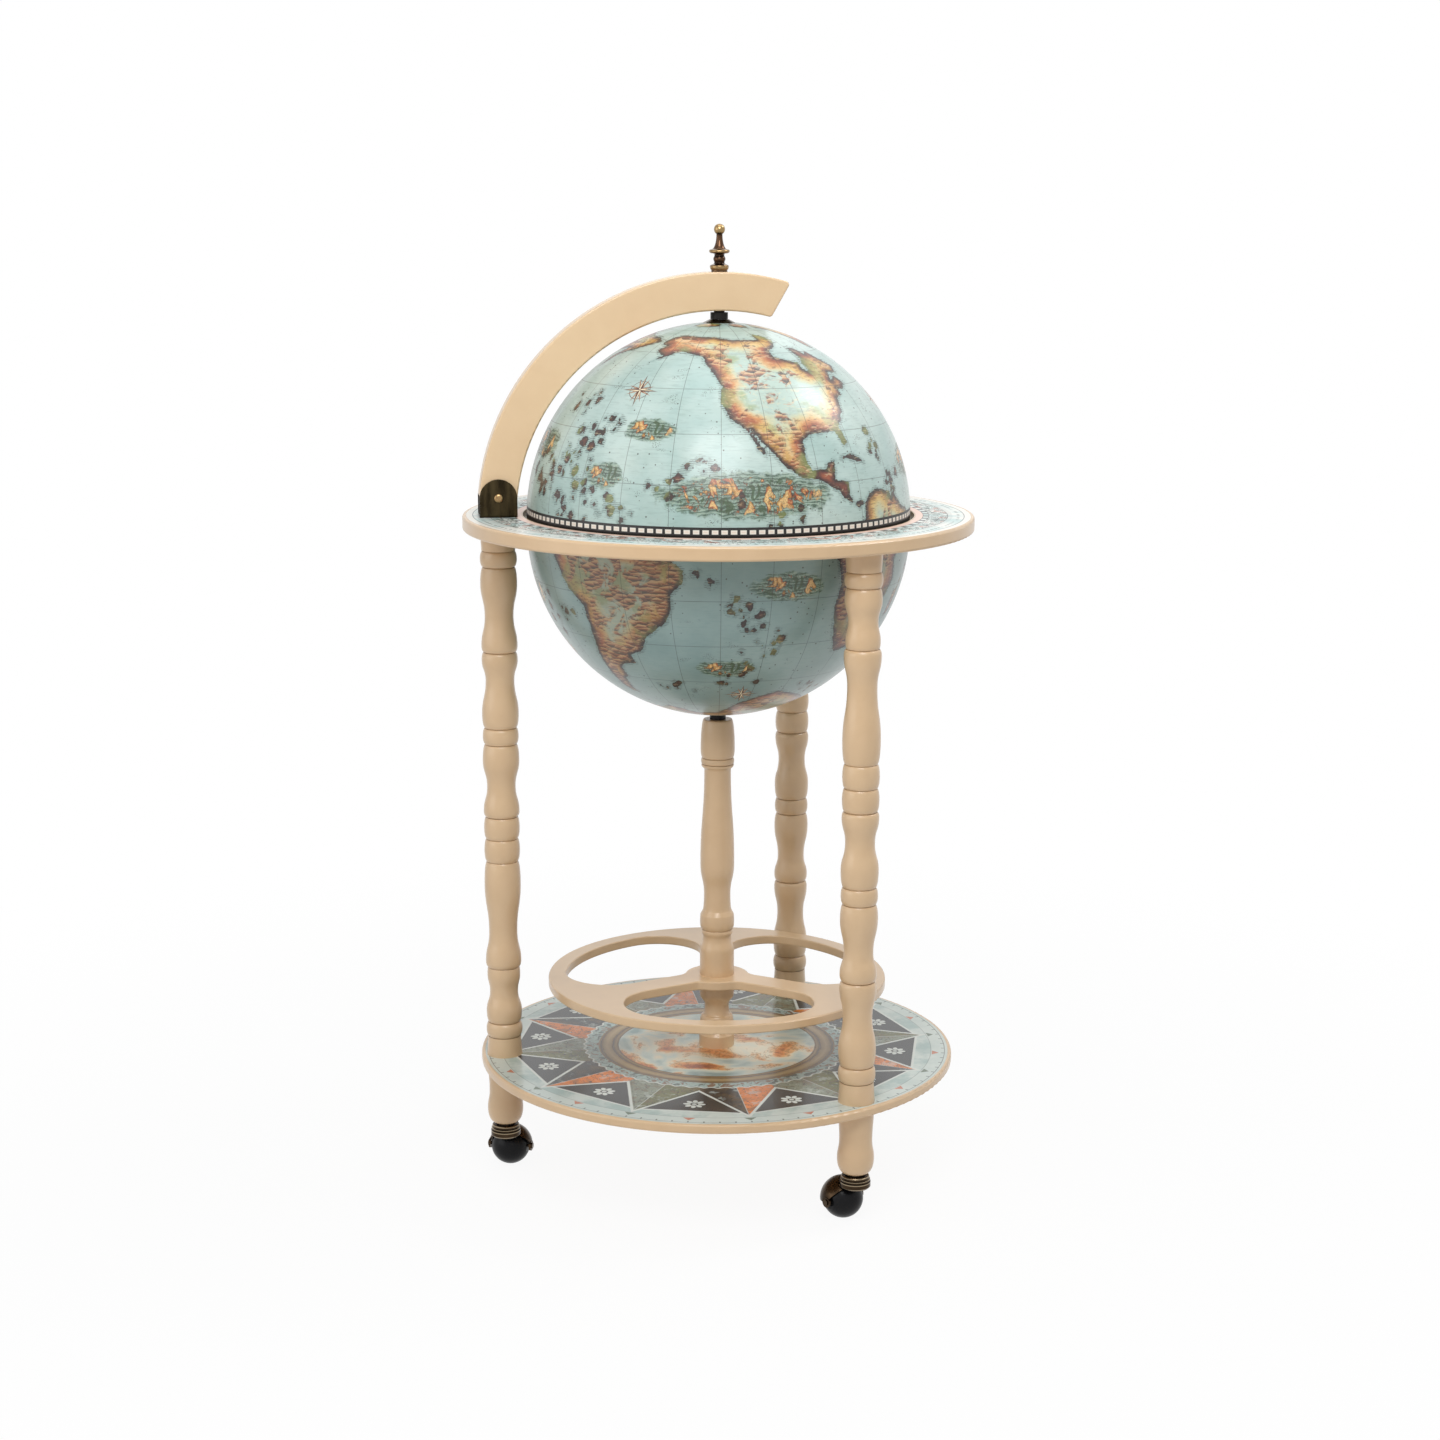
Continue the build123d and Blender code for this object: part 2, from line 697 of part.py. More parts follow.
with BuildPart() as rack_hoop:
    with BuildSketch(Plane.XZ):
        with BuildLine():
            arc_about((0, bowl_centre), (hoop_bottom_reach, hoop_bottom), (hoop_top_reach, rack_bottom))
            Polyline((hoop_top_reach, rack_bottom), (hoop_inside, rack_bottom),
                     (hoop_inside, hoop_bottom), (hoop_bottom_reach, hoop_bottom))
        make_face()
    revolve(axis=Axis.Z)
    with BuildSketch(Plane.XY.offset(rack_bottom)):
        with PolarLocations(rack_screw_circle, rack_screw_count, start_angle=30):
            Circle(screw_radius + fit_clearance)
    extrude(amount=rack_thickness - rack_screw_length, mode=Mode.SUBTRACT)
save(rack_hoop, "rack_hoop")

with BuildPart() as glass_rack:
    with BuildSketch(Plane.XY.offset(rack_bottom)):
        Circle(rack_radius)
        Circle(bottle_hole_radius, mode=Mode.SUBTRACT)
        with PolarLocations(glass_circle_radius, glass_count):
            Circle(glass_hole_radius, mode=Mode.SUBTRACT)
    extrude(amount=rack_thickness)
    with BuildSketch(Plane.XY.offset(rack_top)):
        with PolarLocations(rack_screw_circle, rack_screw_count, start_angle=30):
            Circle(screw_radius + fit_clearance)
    extrude(amount=-rack_thickness, mode=Mode.SUBTRACT)
save(glass_rack, "glass_rack")

with BuildPart() as rack_screws:
    with PolarLocations(rack_screw_circle, rack_screw_count, start_angle=30):
        with Locations((0, 0, rack_top)):
            Cylinder(screw_radius, rack_screw_length,
                     align=(Align.CENTER, Align.CENTER, Align.MAX))
            Cylinder(screw_head_radius, screw_head_height, align=(Align.CENTER, Align.CENTER, Align.MIN))
save(rack_screws, "rack_screws")

# ---------------------------------------------------------------- upper half of the globe
with BuildPart() as upper_shell:
    half_shell(lid_centre, 1, trim_height, 0.0, bush_radius + fit_clearance)
save(upper_shell, "upper_shell")

with BuildPart() as rim_trim:
    turn((0, 0, lid_centre), corners((0, globe_radius), (trim_height, drop(globe_radius, trim_height))),
         globe_radius - trim_width)
save(rim_trim, "rim_trim")

cap_sphere = globe_radius + fit_clearance
cap_seat = (cap_radius, lid_centre + drop(cap_sphere, cap_radius))
cap_root = (bush_radius, lid_centre + drop(cap_sphere, bush_radius))
cap_top = cap_seat[1] + cap_height
bush_bottom = lid_centre + drop(seat_radius, bush_radius)
with BuildPart() as pole_cap:
    with BuildSketch(Plane.XZ):
        with BuildLine():
            arc_about((0, lid_centre), cap_root, cap_seat)
            Polyline(cap_seat, (cap_top_radius, cap_top), (pole_hole, cap_top),
                     (pole_hole, bush_bottom), (bush_radius, bush_bottom), cap_root)
        make_face()
    revolve(axis=Axis.Z)
save(pole_cap, "pole_cap")

washer_edge = (pole_washer_radius, lid_centre + drop(seat_radius, pole_washer_radius))
washer_crown = (pole_hole, bush_bottom - fit_clearance)
washer_bottom = washer_edge[1] - pole_washer_height
with BuildPart() as pole_washer:
    with BuildSketch(Plane.XZ):
        with BuildLine():
            arc_about((0, lid_centre), (bush_radius, washer_crown[1]), washer_edge)
            Polyline(washer_edge, (pole_washer_radius, washer_bottom), (pole_hole, washer_bottom),
                     washer_crown, (bush_radius, washer_crown[1]))
        make_face()
    revolve(axis=Axis.Z)
save(pole_washer, "pole_washer")

# ---------------------------------------------------------------- meridian arm and poles
# The arm's outline is drawn about the lid's centre. Its foot is round about the hinge pin, with a flat
# heel that comes down on the bracket's plate when the arm is fully open.
heel_radius = pin_height - bracket_plate - heel_gap
heel_angle = 270 - arm_open_angle
pin = (pin_x, pin_z - lid_centre)
heel_start = polar(heel_radius, heel_angle, pin)
heel_along = polar(1, heel_angle - 90)
heel_dot = heel_start[0] * heel_along[0] + heel_start[1] * heel_along[1]
heel_run = sqrt(heel_dot**2 + arm_outside**2 - hypot(*heel_start) ** 2) - heel_dot
heel_corner = (heel_start[0] + heel_run * heel_along[0], heel_start[1] + heel_run * heel_along[1])
sole = pin[1] - heel_radius
heel_bottom = (pin_x, sole)
toe = (-drop(arm_inside, sole), sole)
tip_outside = polar(arm_outside, 90 - arm_tip_angle)
tip_inside = polar(arm_inside, 90 - arm_tip_angle + arm_tip_slant)

with BuildPart() as meridian_arm:
    with BuildSketch(front_plane(0, lid_centre)) as arm_outline:
        with BuildLine():
            arc_about((0, 0), tip_outside, heel_corner)
            Line(heel_corner, heel_start)
            arc_about(pin, heel_start, heel_bottom)
            Line(heel_bottom, toe)
            arc_about((0, 0), toe, tip_inside)
            Line(tip_inside, tip_outside)
        make_face()
        fillet(arm_outline.vertices().sort_by(Axis.X)[-2:], arm_tip_rounding)
    extrude(amount=arm_thickness / 2, both=True)
    fillet(meridian_arm.edges().filter_by(Plane.XZ), arm_edge_rounding)
    with BuildSketch(front_plane(pin_x, pin_z)):
        Circle(bolt_radius + running_clearance)
    extrude(amount=arm_thickness, both=True, mode=Mode.SUBTRACT)
    with Locations((0, 0, lid_centre + arm_middle)):
        Cylinder(pole_rod_radius + fit_clearance, 2 * arm_width, mode=Mode.SUBTRACT)
save(meridian_arm, "meridian_arm")

knob_top = lid_centre + drop(arm_inside, knob_neck_radius)
knob_outline = corners(
    (cap_top + pivot_gap, knob_radius),
    (knob_top - knob_neck_height, knob_radius),
    (knob_top - knob_neck_height, knob_neck_radius),
    (knob_top, knob_neck_radius),
)
with BuildPart() as pole_knob:
    turn((0, 0, 0), knob_outline, pole_rod_radius + fit_clearance)
save(pole_knob, "pole_knob")

pole_nut_bottom = washer_bottom - pivot_gap - small_nut_height
with BuildPart() as pole_nut:
    nut(pole_nut_bottom, small_nut_radius, small_nut_height, pole_rod_radius + fit_clearance)
save(pole_nut, "pole_nut")

pole_rod_ends = (pole_nut_bottom - thread_end, arm_top + finial_thread)
with BuildPart() as pole_rod:
    turn((0, 0, 0), corners(*[(end, pole_rod_radius) for end in pole_rod_ends]))
save(pole_rod, "pole_rod")

finial_neck = finial_ball - 2.1
finial_outline = [
    (0.0, finial_flange - 1.85, False),
    (1.6, finial_flange - 1.85, False),
    (4.6, finial_flange - 0.7, True),
    (7.6, finial_ball - 0.3, True),
    (10.6, finial_ball + 0.5, True),
    (14.0, finial_ball - 0.5, True),
    (15.3, finial_ball + 1.9, False),
    (17.2, finial_flange, True),
    (18.7, finial_flange - 1.9, False),
    (finial_height - 9.0, finial_neck, True),
]
ball_middle = finial_height - finial_ball
ball_root = (finial_neck, ball_middle - drop(finial_ball, finial_neck))
with BuildPart() as finial:
    with BuildSketch(front_plane(0, arm_top)):
        with BuildLine():
            for lower, upper in pairwise(finial_outline):
                draw_step(lower, upper)
            Line((finial_outline[-1][1], finial_outline[-1][0]), ball_root)
            ThreePointArc(ball_root, (finial_ball, ball_middle), (0, finial_height))
            Polyline((0, finial_height), (0, 0), (finial_outline[0][1], 0))
        make_face()
    revolve(axis=Axis.Z)
    with Locations((0, 0, arm_top)):
        Cylinder(pole_rod_radius + fit_clearance, finial_thread + fit_clearance,
                 align=(Align.CENTER, Align.CENTER, Align.MIN), mode=Mode.SUBTRACT)
save(finial, "finial")

# ---------------------------------------------------------------- hinge
with BuildPart() as hinge_bracket:
    with BuildSketch(front_plane(pin_x, ring_top)):
        Rectangle(bracket_width, pin_height, align=(Align.CENTER, Align.MIN))
        with Locations((0, pin_height)):
            Circle(bracket_width / 2)
    extrude(amount=ear_outside, both=True)
    fillet(hinge_bracket.edges().filter_by(Axis.X).group_by(Axis.Z)[0], bracket_plate)
    with BuildSketch(front_plane(pin_x, ring_top)):
        with Locations((0, bracket_plate)):
            Rectangle(2 * bracket_width, 2 * bracket_width, align=(Align.CENTER, Align.MIN))
    extrude(amount=ear_inside, both=True, mode=Mode.SUBTRACT)
    with BuildSketch(front_plane(pin_x, pin_z)):
        Circle(bolt_radius + fit_clearance)
    extrude(amount=2 * ear_outside, both=True, mode=Mode.SUBTRACT)
    with Locations(*[(pin_x + x, y, ring_top + bracket_plate) for x, y in screw_spots]):
        CounterSinkHole(screw_radius + fit_clearance, screw_head_radius + fit_clearance)
save(hinge_bracket, "hinge_bracket")

screw_top = ring_top + bracket_plate - fit_clearance
screw_outline = corners(
    (ring_board_top - screw_length, screw_radius),
    (screw_top - screw_head_height, screw_radius),
    (screw_top, screw_head_radius),
)
with BuildPart() as bracket_screws:
    for x, y in screw_spots:
        turn((pin_x + x, y, 0), screw_outline)
save(bracket_screws, "bracket_screws")

with BuildPart() as hinge_bolt:
    with BuildSketch(front_plane(pin_x, pin_z).offset(ear_outside)):
        Circle(bolt_head_radius)
    extrude(amount=bolt_head_height)
    fillet(hinge_bolt.edges().sort_by(Axis.Y)[0], 0.8 * bolt_head_height)
    with BuildSketch(front_plane(pin_x, pin_z).offset(ear_outside)):
        Circle(bolt_radius)
    extrude(amount=-(2 * ear_outside + bolt_end))
save(hinge_bolt, "hinge_bolt")

with BuildPart() as hinge_nut:
    with BuildSketch(front_plane(pin_x, pin_z).offset(-ear_outside)):
        RegularPolygon(small_nut_radius, 6)
        Circle(bolt_radius + fit_clearance, mode=Mode.SUBTRACT)
    extrude(amount=fit_clearance - small_nut_height)
save(hinge_nut, "hinge_nut")
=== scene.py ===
"""The looks of a floor-standing globe bar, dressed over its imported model.

The globe opens at its equator on a meridian arm. It hangs in a round table ring on three turned legs,
over a printed shelf on ball casters. All sizes are in metres unless a name ends in _mm.
"""

import logging
import math
import random
from collections.abc import Iterable, Sequence
from dataclasses import dataclass
from enum import Enum

import bpy
import numpy as np
from mathutils import Matrix, Vector, kdtree


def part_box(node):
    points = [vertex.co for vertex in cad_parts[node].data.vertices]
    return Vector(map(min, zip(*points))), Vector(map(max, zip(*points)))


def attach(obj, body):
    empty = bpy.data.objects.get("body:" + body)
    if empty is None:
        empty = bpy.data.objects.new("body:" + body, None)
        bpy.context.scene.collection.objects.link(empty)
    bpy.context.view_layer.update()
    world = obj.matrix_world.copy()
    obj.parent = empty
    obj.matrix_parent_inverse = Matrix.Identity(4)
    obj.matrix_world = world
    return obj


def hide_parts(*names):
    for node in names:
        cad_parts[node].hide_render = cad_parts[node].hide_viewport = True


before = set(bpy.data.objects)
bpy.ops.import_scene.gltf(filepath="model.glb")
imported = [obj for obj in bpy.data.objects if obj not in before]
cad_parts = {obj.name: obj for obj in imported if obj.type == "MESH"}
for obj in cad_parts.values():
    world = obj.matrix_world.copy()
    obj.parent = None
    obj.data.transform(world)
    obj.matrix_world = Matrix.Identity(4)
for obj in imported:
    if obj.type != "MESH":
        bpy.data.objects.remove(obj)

log = logging.getLogger("globe_bar")

MM = 0.001
SHARP_ANGLE = math.radians(35)
Colour = tuple[float, float, float]
Stops = tuple[tuple[float, Colour], ...]


def srgb(red: int, green: int, blue: int) -> Colour:
    """Turns a colour in steps of 0 to 255, as a screen shows it, into the linear colour of a shader."""
    parts = [step / 255 for step in (red, green, blue)]
    return tuple(part / 12.92 if part < 0.0405 else ((part + 0.055) / 1.055) ** 2.4 for part in parts)


# -------------------- shader building
class Wire:
    """A number between two shader nodes. Each sum done with it adds a math node to its paint."""

    def __init__(self, paint: "Paint", socket: bpy.types.NodeSocket) -> None:
        """Keeps the socket that gives the number, and its paint."""
        self.paint = paint
        self.socket = socket

    def __add__(self, other: "Wire | float") -> "Wire":
        """The sum."""
        return self.paint.math("ADD", self, other)

    __radd__ = __add__

    def __sub__(self, other: "Wire | float") -> "Wire":
        """The difference."""
        return self.paint.math("SUBTRACT", self, other)

    def __rsub__(self, other: float) -> "Wire":
        """The difference, with this number taken away."""
        return self.paint.math("SUBTRACT", other, self)

    def __mul__(self, other: "Wire | float") -> "Wire":
        """The product."""
        return self.paint.math("MULTIPLY", self, other)

    __rmul__ = __mul__

    def __truediv__(self, other: "Wire | float") -> "Wire":
        """The quotient."""
        return self.paint.math("DIVIDE", self, other)

    def __abs__(self) -> "Wire":
        """The number without its sign."""
        return self.paint.math("ABSOLUTE", self)

    def fraction(self) -> "Wire":
        """What is left over the whole number below."""
        return self.paint.math("FRACT", self)

    def above(self, edge: "Wire | float", soft: float) -> "Wire":
        """Goes smoothly from 0 below the edge to 1 above it. The step is twice as wide as soft."""
        return self.paint.smooth_step((self - edge) / soft)

    def below(self, edge: "Wire | float", soft: float) -> "Wire":
        """Goes smoothly from 1 below the edge to 0 above it."""
        return 1.0 - self.above(edge, soft)

    def between(self, low: float, high: float, soft: float) -> "Wire":
        """Is 1 between two edges and 0 outside them."""
        return self.above(low, soft) * self.below(high, soft)


class Paint:
    """A material's node tree, with short ways to add nodes and join them."""

    def __init__(self, name: str) -> None:
        """Starts an empty material with its principled shader.

        Args:
            name: The material's name.
        """
        self.material = bpy.data.materials.new(name)
        self.material.use_nodes = True
        self.tree = self.material.node_tree
        self.tree.nodes.clear()
        self.shader = self.node("ShaderNodeBsdfPrincipled")
        output = self.node("ShaderNodeOutputMaterial")
        self.tree.links.new(self.shader.outputs[0], output.inputs[0])

    def node(self, kind: str, **settings: object) -> bpy.types.Node:
        """Adds a node and sets its own properties.

        Args:
            kind: The node's type.
            **settings: Its own properties.

        Returns:
            The node.
        """
        made = self.tree.nodes.new(kind)
        for name, value in settings.items():
            setattr(made, name, value)
        return made

    def feed(self, socket: bpy.types.NodeSocket, value: object) -> None:
        """Gives a socket a wire or a plain value.

        Args:
            socket: The socket.
            value: A wire, or what the socket holds itself.
        """
        if isinstance(value, Wire):
            self.tree.links.new(value.socket, socket)
        elif isinstance(value, tuple) and socket.type == "RGBA":
            socket.default_value = (*value, 1.0)
        else:
            socket.default_value = value

    def math(self, operation: str, *values: "Wire | float") -> Wire:
        """Adds a math node on up to three values.

        Args:
            operation: Blender's name of the sum.
            *values: What the sum is done on.

        Returns:
            The result.
        """
        made = self.node("ShaderNodeMath", operation=operation)
        for socket, value in zip(made.inputs, values):
            self.feed(socket, value)
        return Wire(self, made.outputs[0])

    def vector(self, operation: str, first: Wire, second: "Wire | tuple | float") -> Wire:
        """Adds a vector math node on a vector and a second vector or a scale.

        Args:
            operation: Blender's name of the sum.
            first: The vector.
            second: The second vector, or the scale.

        Returns:
            The result, a number where the sum gives one.
        """
        made = self.node("ShaderNodeVectorMath", operation=operation)
        self.feed(made.inputs[0], first)
        self.feed(made.inputs[3 if operation == "SCALE" else 1], second)
        return Wire(self, made.outputs[1 if operation in ("DOT_PRODUCT", "LENGTH", "DISTANCE") else 0])

    def smooth_step(self, value: Wire) -> Wire:
        """Goes from 0 to 1 as the value goes from -1 to 1.

        Args:
            value: The value to ease.

        Returns:
            The eased value.
        """
        made = self.node("ShaderNodeMapRange", interpolation_type="SMOOTHSTEP")
        self.feed(made.inputs["Value"], value)
        made.inputs["From Min"].default_value = -1.0
        return Wire(self, made.outputs[0])

    def place(self, centre_mm: tuple[float, float, float] = (0.0, 0.0, 0.0)) -> Wire:
        """The point on the piece, in millimetres from a centre in the object's frame.

        Args:
            centre_mm: The centre.

        Returns:
            The point as a vector.
        """
        coordinates = self.node("ShaderNodeTexCoord")
        scaled = self.vector("SCALE", Wire(self, coordinates.outputs["Object"]), 1 / MM)
        return self.vector("SUBTRACT", scaled, centre_mm)

    def split(self, vector: Wire) -> tuple[Wire, Wire, Wire]:
        """The three parts of a vector.

        Args:
            vector: The vector.

        Returns:
            Its X, Y and Z.
        """
        made = self.node("ShaderNodeSeparateXYZ")
        self.feed(made.inputs[0], vector)
        return tuple(Wire(self, socket) for socket in made.outputs)

    def join(self, x: "Wire | float", y: "Wire | float", z: "Wire | float" = 0.0) -> Wire:
        """A vector made of three numbers.

        Args:
            x: Its X.
            y: Its Y.
            z: Its Z.

        Returns:
            The vector.
        """
        made = self.node("ShaderNodeCombineXYZ")
        for socket, value in zip(made.inputs, (x, y, z)):
            self.feed(socket, value)
        return Wire(self, made.outputs[0])

    def attribute(self, name: str) -> Wire:
        """A number stored on the mesh."""
        return Wire(self, self.node("ShaderNodeAttribute", attribute_name=name).outputs["Fac"])

    def noise(self, point: Wire, grain_mm: float, detail: float = 3.0, roughness: float = 0.5,
              distortion: float = 0.0) -> Wire:
        """Noise from 0 to 1.

        Args:
            point: The point in millimetres.
            grain_mm: The size of its largest patches.
            detail: How many finer layers it has.
            roughness: How strong the finer layers are.
            distortion: How far it is swirled.

        Returns:
            The noise, with a mean of about a half.
        """
        made = self.node("ShaderNodeTexNoise")
        self.feed(made.inputs["Vector"], point)
        made.inputs["Scale"].default_value = 1 / grain_mm
        made.inputs["Detail"].default_value = detail
        made.inputs["Roughness"].default_value = roughness
        made.inputs["Distortion"].default_value = distortion
        return Wire(self, made.outputs[0])

    def cells(self, point: Wire, cell_mm: float) -> tuple[Wire, Wire, Wire]:
        """Scattered cells about points of their own.

        Args:
            point: The point in millimetres.
            cell_mm: The size of a cell.

        Returns:
            The distance to the nearest middle in cells, and that cell's colour and middle.
        """
        made = self.node("ShaderNodeTexVoronoi")
        self.feed(made.inputs["Vector"], point)
        made.inputs["Scale"].default_value = 1 / cell_mm
        return tuple(Wire(self, made.outputs[name]) for name in ("Distance", "Color", "Position"))

    def hill(self, point: Wire, cell_mm: float) -> Wire:
        """How far a place lies above the middle of its own scattered cell, in cells."""
        middle = self.cells(point, cell_mm)[2]
        return self.split(self.vector("SUBTRACT", point, middle))[2] / cell_mm

    def openness(self, reach_mm: float) -> Wire:
        """Is 1 where the surface is open and less in its grooves and corners.

        Args:
            reach_mm: How far away the surface's own shape counts.

        Returns:
            A mask from 0 to 1.
        """
        made = self.node("ShaderNodeAmbientOcclusion", samples=8, only_local=True)
        made.inputs["Distance"].default_value = reach_mm * MM
        return Wire(self, made.outputs["AO"])

    def ramp(self, value: Wire, stops: Stops) -> Wire:
        """Colours along a value from 0 to 1.

        Args:
            value: The value.
            stops: Where each colour lies.

        Returns:
            The colour.
        """
        made = self.node("ShaderNodeValToRGB")
        self.feed(made.inputs[0], value)
        band = made.color_ramp.elements
        while len(band) < len(stops):
            band.new(1.0)
        for element, (position, colour) in zip(band, stops):
            element.position = position
            element.color = (*colour, 1.0)
        return Wire(self, made.outputs[0])

    def blend(self, share: "Wire | float", below: "Wire | Colour", above: "Wire | Colour",
              mode: str = "MIX") -> Wire:
        """Mixes two colours, or lays the second over the first in a blend mode.

        Args:
            share: How much of the second colour shows, from 0 to 1.
            below: The first colour.
            above: The second colour.
            mode: Blender's name of the blend mode.

        Returns:
            The mixed colour.
        """
        # A mix node's sockets 6 and 7 are its two colours, and its output 2 is the mixed one.
        made = self.node("ShaderNodeMix", data_type="RGBA", blend_type=mode)
        self.feed(made.inputs[0], share)
        self.feed(made.inputs[6], below)
        self.feed(made.inputs[7], above)
        return Wire(self, made.outputs[2])

    def bump(self, height: Wire, depth_mm: float, strength: float = 1.0) -> None:
        """Raises the surface by a height from 0 to 1, this many millimetres at most.

        Args:
            height: The height.
            depth_mm: The most that it rises.
            strength: How much of that shows.
        """
        made = self.node("ShaderNodeBump")
        self.feed(made.inputs["Height"], height)
        made.inputs["Distance"].default_value = depth_mm * MM
        made.inputs["Strength"].default_value = strength
        self.feed(self.shader.inputs["Normal"], Wire(self, made.outputs[0]))

    def set(self, **values: object) -> bpy.types.Material:
        """Sets the shader's sockets, with an underscore for each blank, and gives the material.

        Args:
            **values: The sockets' values, each a wire or a plain value.

        Returns:
            The material.
        """
        for name, value in values.items():
            self.feed(self.shader.inputs[name.replace("_", " ")], value)
        return self.material


# -------------------- finishes
@dataclass(frozen=True)
class CreamPaint:
    """Satin cream paint over turned wood and board."""

    name: str = "cream_paint"
    colour: Colour = srgb(224, 193, 154)
    shade: Colour = srgb(212, 179, 139)
    # Painted shade: the darker colour that the paint takes in its grooves and inner corners, where shade
    # falls.
    groove: Colour = srgb(158, 118, 78)
    groove_mm: float = 5.0
    cloud_mm: float = 18.0
    grain_mm: float = 1.6
    grain_stretch: float = 0.12
    peel_mm: float = 0.9
    relief_mm: float = 0.05
    groove_shade_share: float = 0.75
    roughness: float = 0.3
    gloss: float = 0.38
    gloss_roughness: float = 0.16

    def material(self) -> bpy.types.Material:
        """Makes the paint: faint brushing, the grain just showing, and painted shade darkening the grooves.

        Returns:
            The material.
        """
        paint = Paint(self.name)
        point = paint.place()
        cloud = paint.noise(point, self.cloud_mm, 4.0)
        x, y, z = paint.split(point)
        grain = paint.noise(paint.join(x, y, z * self.grain_stretch), self.grain_mm, 3.0)
        peel = paint.noise(point, self.peel_mm, 2.0)
        paint.bump(grain * 0.6 + peel * 0.4, self.relief_mm, 0.5)
        # Painted shade: darkens the paint where its own shape closes round it, in grooves and corners.
        groove_shade = paint.openness(self.groove_mm).below(0.72, 0.22)
        brushed = paint.blend(cloud, self.shade, self.colour)
        colour = paint.blend(groove_shade * self.groove_shade_share, brushed, self.groove)
        return paint.set(Base_Color=colour, Roughness=cloud * 0.1 + self.roughness,
                         Coat_Weight=self.gloss, Coat_Roughness=self.gloss_roughness)


@dataclass(frozen=True)
class Metal:
    """A metal mottled with patina, with painted shade in its grooves and painted highlight on its open
    faces.
    """

    name: str
    bright: Colour
    dark: Colour
    patina_mm: float = 14.0
    roughness: float = 0.3
    groove_mm: float = 3.0
    streak: float = 1.0
    contrast: float = 0.35
    scratch_mm: float = 0.5
    relief_mm: float = 0.02
    dulled: float = 0.12

    def tint(self, paint: Paint, point: Wire, colour: Wire) -> Wire:
        """Leaves the colour as it is."""
        return colour

    def material(self) -> bpy.types.Material:
        """Makes the metal, duller where it is dark.

        Returns:
            The material.
        """
        paint = Paint(self.name)
        point = paint.place()
        # Where the stretch is above 1, the patina is drawn out upright into lines of the bright colour.
        # These are painted highlights over real patina.
        drawn = paint.vector("MULTIPLY", point, (1.0, 1.0, 1.0 / self.streak))
        patina = paint.noise(drawn, self.patina_mm, 4.0, 0.55).above(0.5, 0.2)
        scratch = paint.noise(point, self.scratch_mm, 2.0)
        # Painted shade and highlight: the metal keeps its dark colour in its grooves and corners, where
        # shade falls, and shows its bright colour, mottled by patina, only on its open faces.
        edges = paint.openness(self.groove_mm).above(0.78, 0.24)
        highlight_and_patina = edges * (patina * self.contrast + 1.0 - self.contrast)
        paint.bump(scratch, self.relief_mm, 0.3)
        colour = self.tint(paint, point, paint.blend(highlight_and_patina, self.dark, self.bright))
        return paint.set(Base_Color=colour, Metallic=1.0,
                         Roughness=self.roughness + (1.0 - highlight_and_patina) * self.dulled)


@dataclass(frozen=True)
class CasterBronze(Metal):
    """Dark bronze with painted highlights on the rims of the casters' collars."""

    # The pale colour of the collars' rims is a painted highlight.
    wear_and_rim_highlight: Colour = srgb(168, 152, 126)
    leg_circle_mm: float = 190.0
    leg_angles: tuple[float, ...] = (180.0, -60.0, 60.0)
    collar_inner_mm: float = 10.4
    collar_outer_mm: float = 13.3
    rims_mm: tuple[float, ...] = (32.7, 36.6, 39.3, 41.9)
    rim_width_mm: float = 0.8
    rim_highlight_share: float = 0.75

    def tint(self, paint: Paint, point: Wire, colour: Wire) -> Wire:
        """Paints highlights on the rims of the collars, which stand round the legs' axes.

        Args:
            paint: The paint to add nodes to.
            point: The point in millimetres.
            colour: The metal's colour.

        Returns:
            The colour with its painted rim highlights.
        """
        x, y, z = paint.split(point)
        reach = None
        for angle in self.leg_angles:
            across = x - self.leg_circle_mm * math.cos(math.radians(angle))
            along = y - self.leg_circle_mm * math.sin(math.radians(angle))
            distance = paint.math("SQRT", across * across + along * along)
            reach = distance if reach is None else paint.math("MINIMUM", reach, distance)
        collar = reach.between(self.collar_inner_mm, self.collar_outer_mm, 0.1)
        for height in self.rims_mm:
            # Painted highlight: a pale line round each rim of the collar.
            rim = abs(z - height).below(self.rim_width_mm / 2, 0.2) * collar
            colour = paint.blend(rim * self.rim_highlight_share, colour, self.wear_and_rim_highlight)
        return colour


@dataclass(frozen=True)
class TurnedBrass:
    """Old brass on a turned finial, with painted shade in its grooves and painted highlights on its rims and
    ball.
    """

    foot_mm: float
    height_mm: float = 40.0
    # The black colour is painted shade in the grooves, and the bright one a painted highlight on the rims
    # and ball.
    black: Colour = srgb(30, 23, 19)
    brown: Colour = srgb(84, 62, 46)
    bright: Colour = srgb(158, 132, 92)
    tarnish_mm: float = 5.0
    tarnish: float = 0.03
    scratch_mm: float = 0.5
    relief_mm: float = 0.02
    roughness: float = 0.2

    def bands(self) -> Stops:
        """The colours along the height, from the foot at 0 to the tip at 1: black for painted shade, bright
        for painted highlight.

        Returns:
            Each colour's place and the colour.
        """
        black, brown, bright = self.black, self.brown, self.bright
        return ((0.02, brown), (0.1, bright), (0.15, brown), (0.19, black), (0.26, brown), (0.34, black),
                (0.39, brown), (0.43, bright), (0.48, brown), (0.74, brown), (0.79, black), (0.84, bright),
                (0.96, bright))

    def material(self) -> bpy.types.Material:
        """Makes the brass, with its colours, painted highlight and shade among them, laid along the finial's
        height.

        Returns:
            The material.
        """
        paint = Paint("turned_brass")
        point = paint.place((0.0, 0.0, self.foot_mm))
        rise = paint.split(point)[2]
        tarnish = (paint.noise(point, self.tarnish_mm, 4.0, 0.6) - 0.5) * self.tarnish
        colour = paint.ramp(rise / self.height_mm + tarnish, self.bands())
        paint.bump(paint.noise(point, self.scratch_mm, 2.0), self.relief_mm, 0.3)
        return paint.set(Base_Color=colour, Metallic=1.0, Roughness=self.roughness)


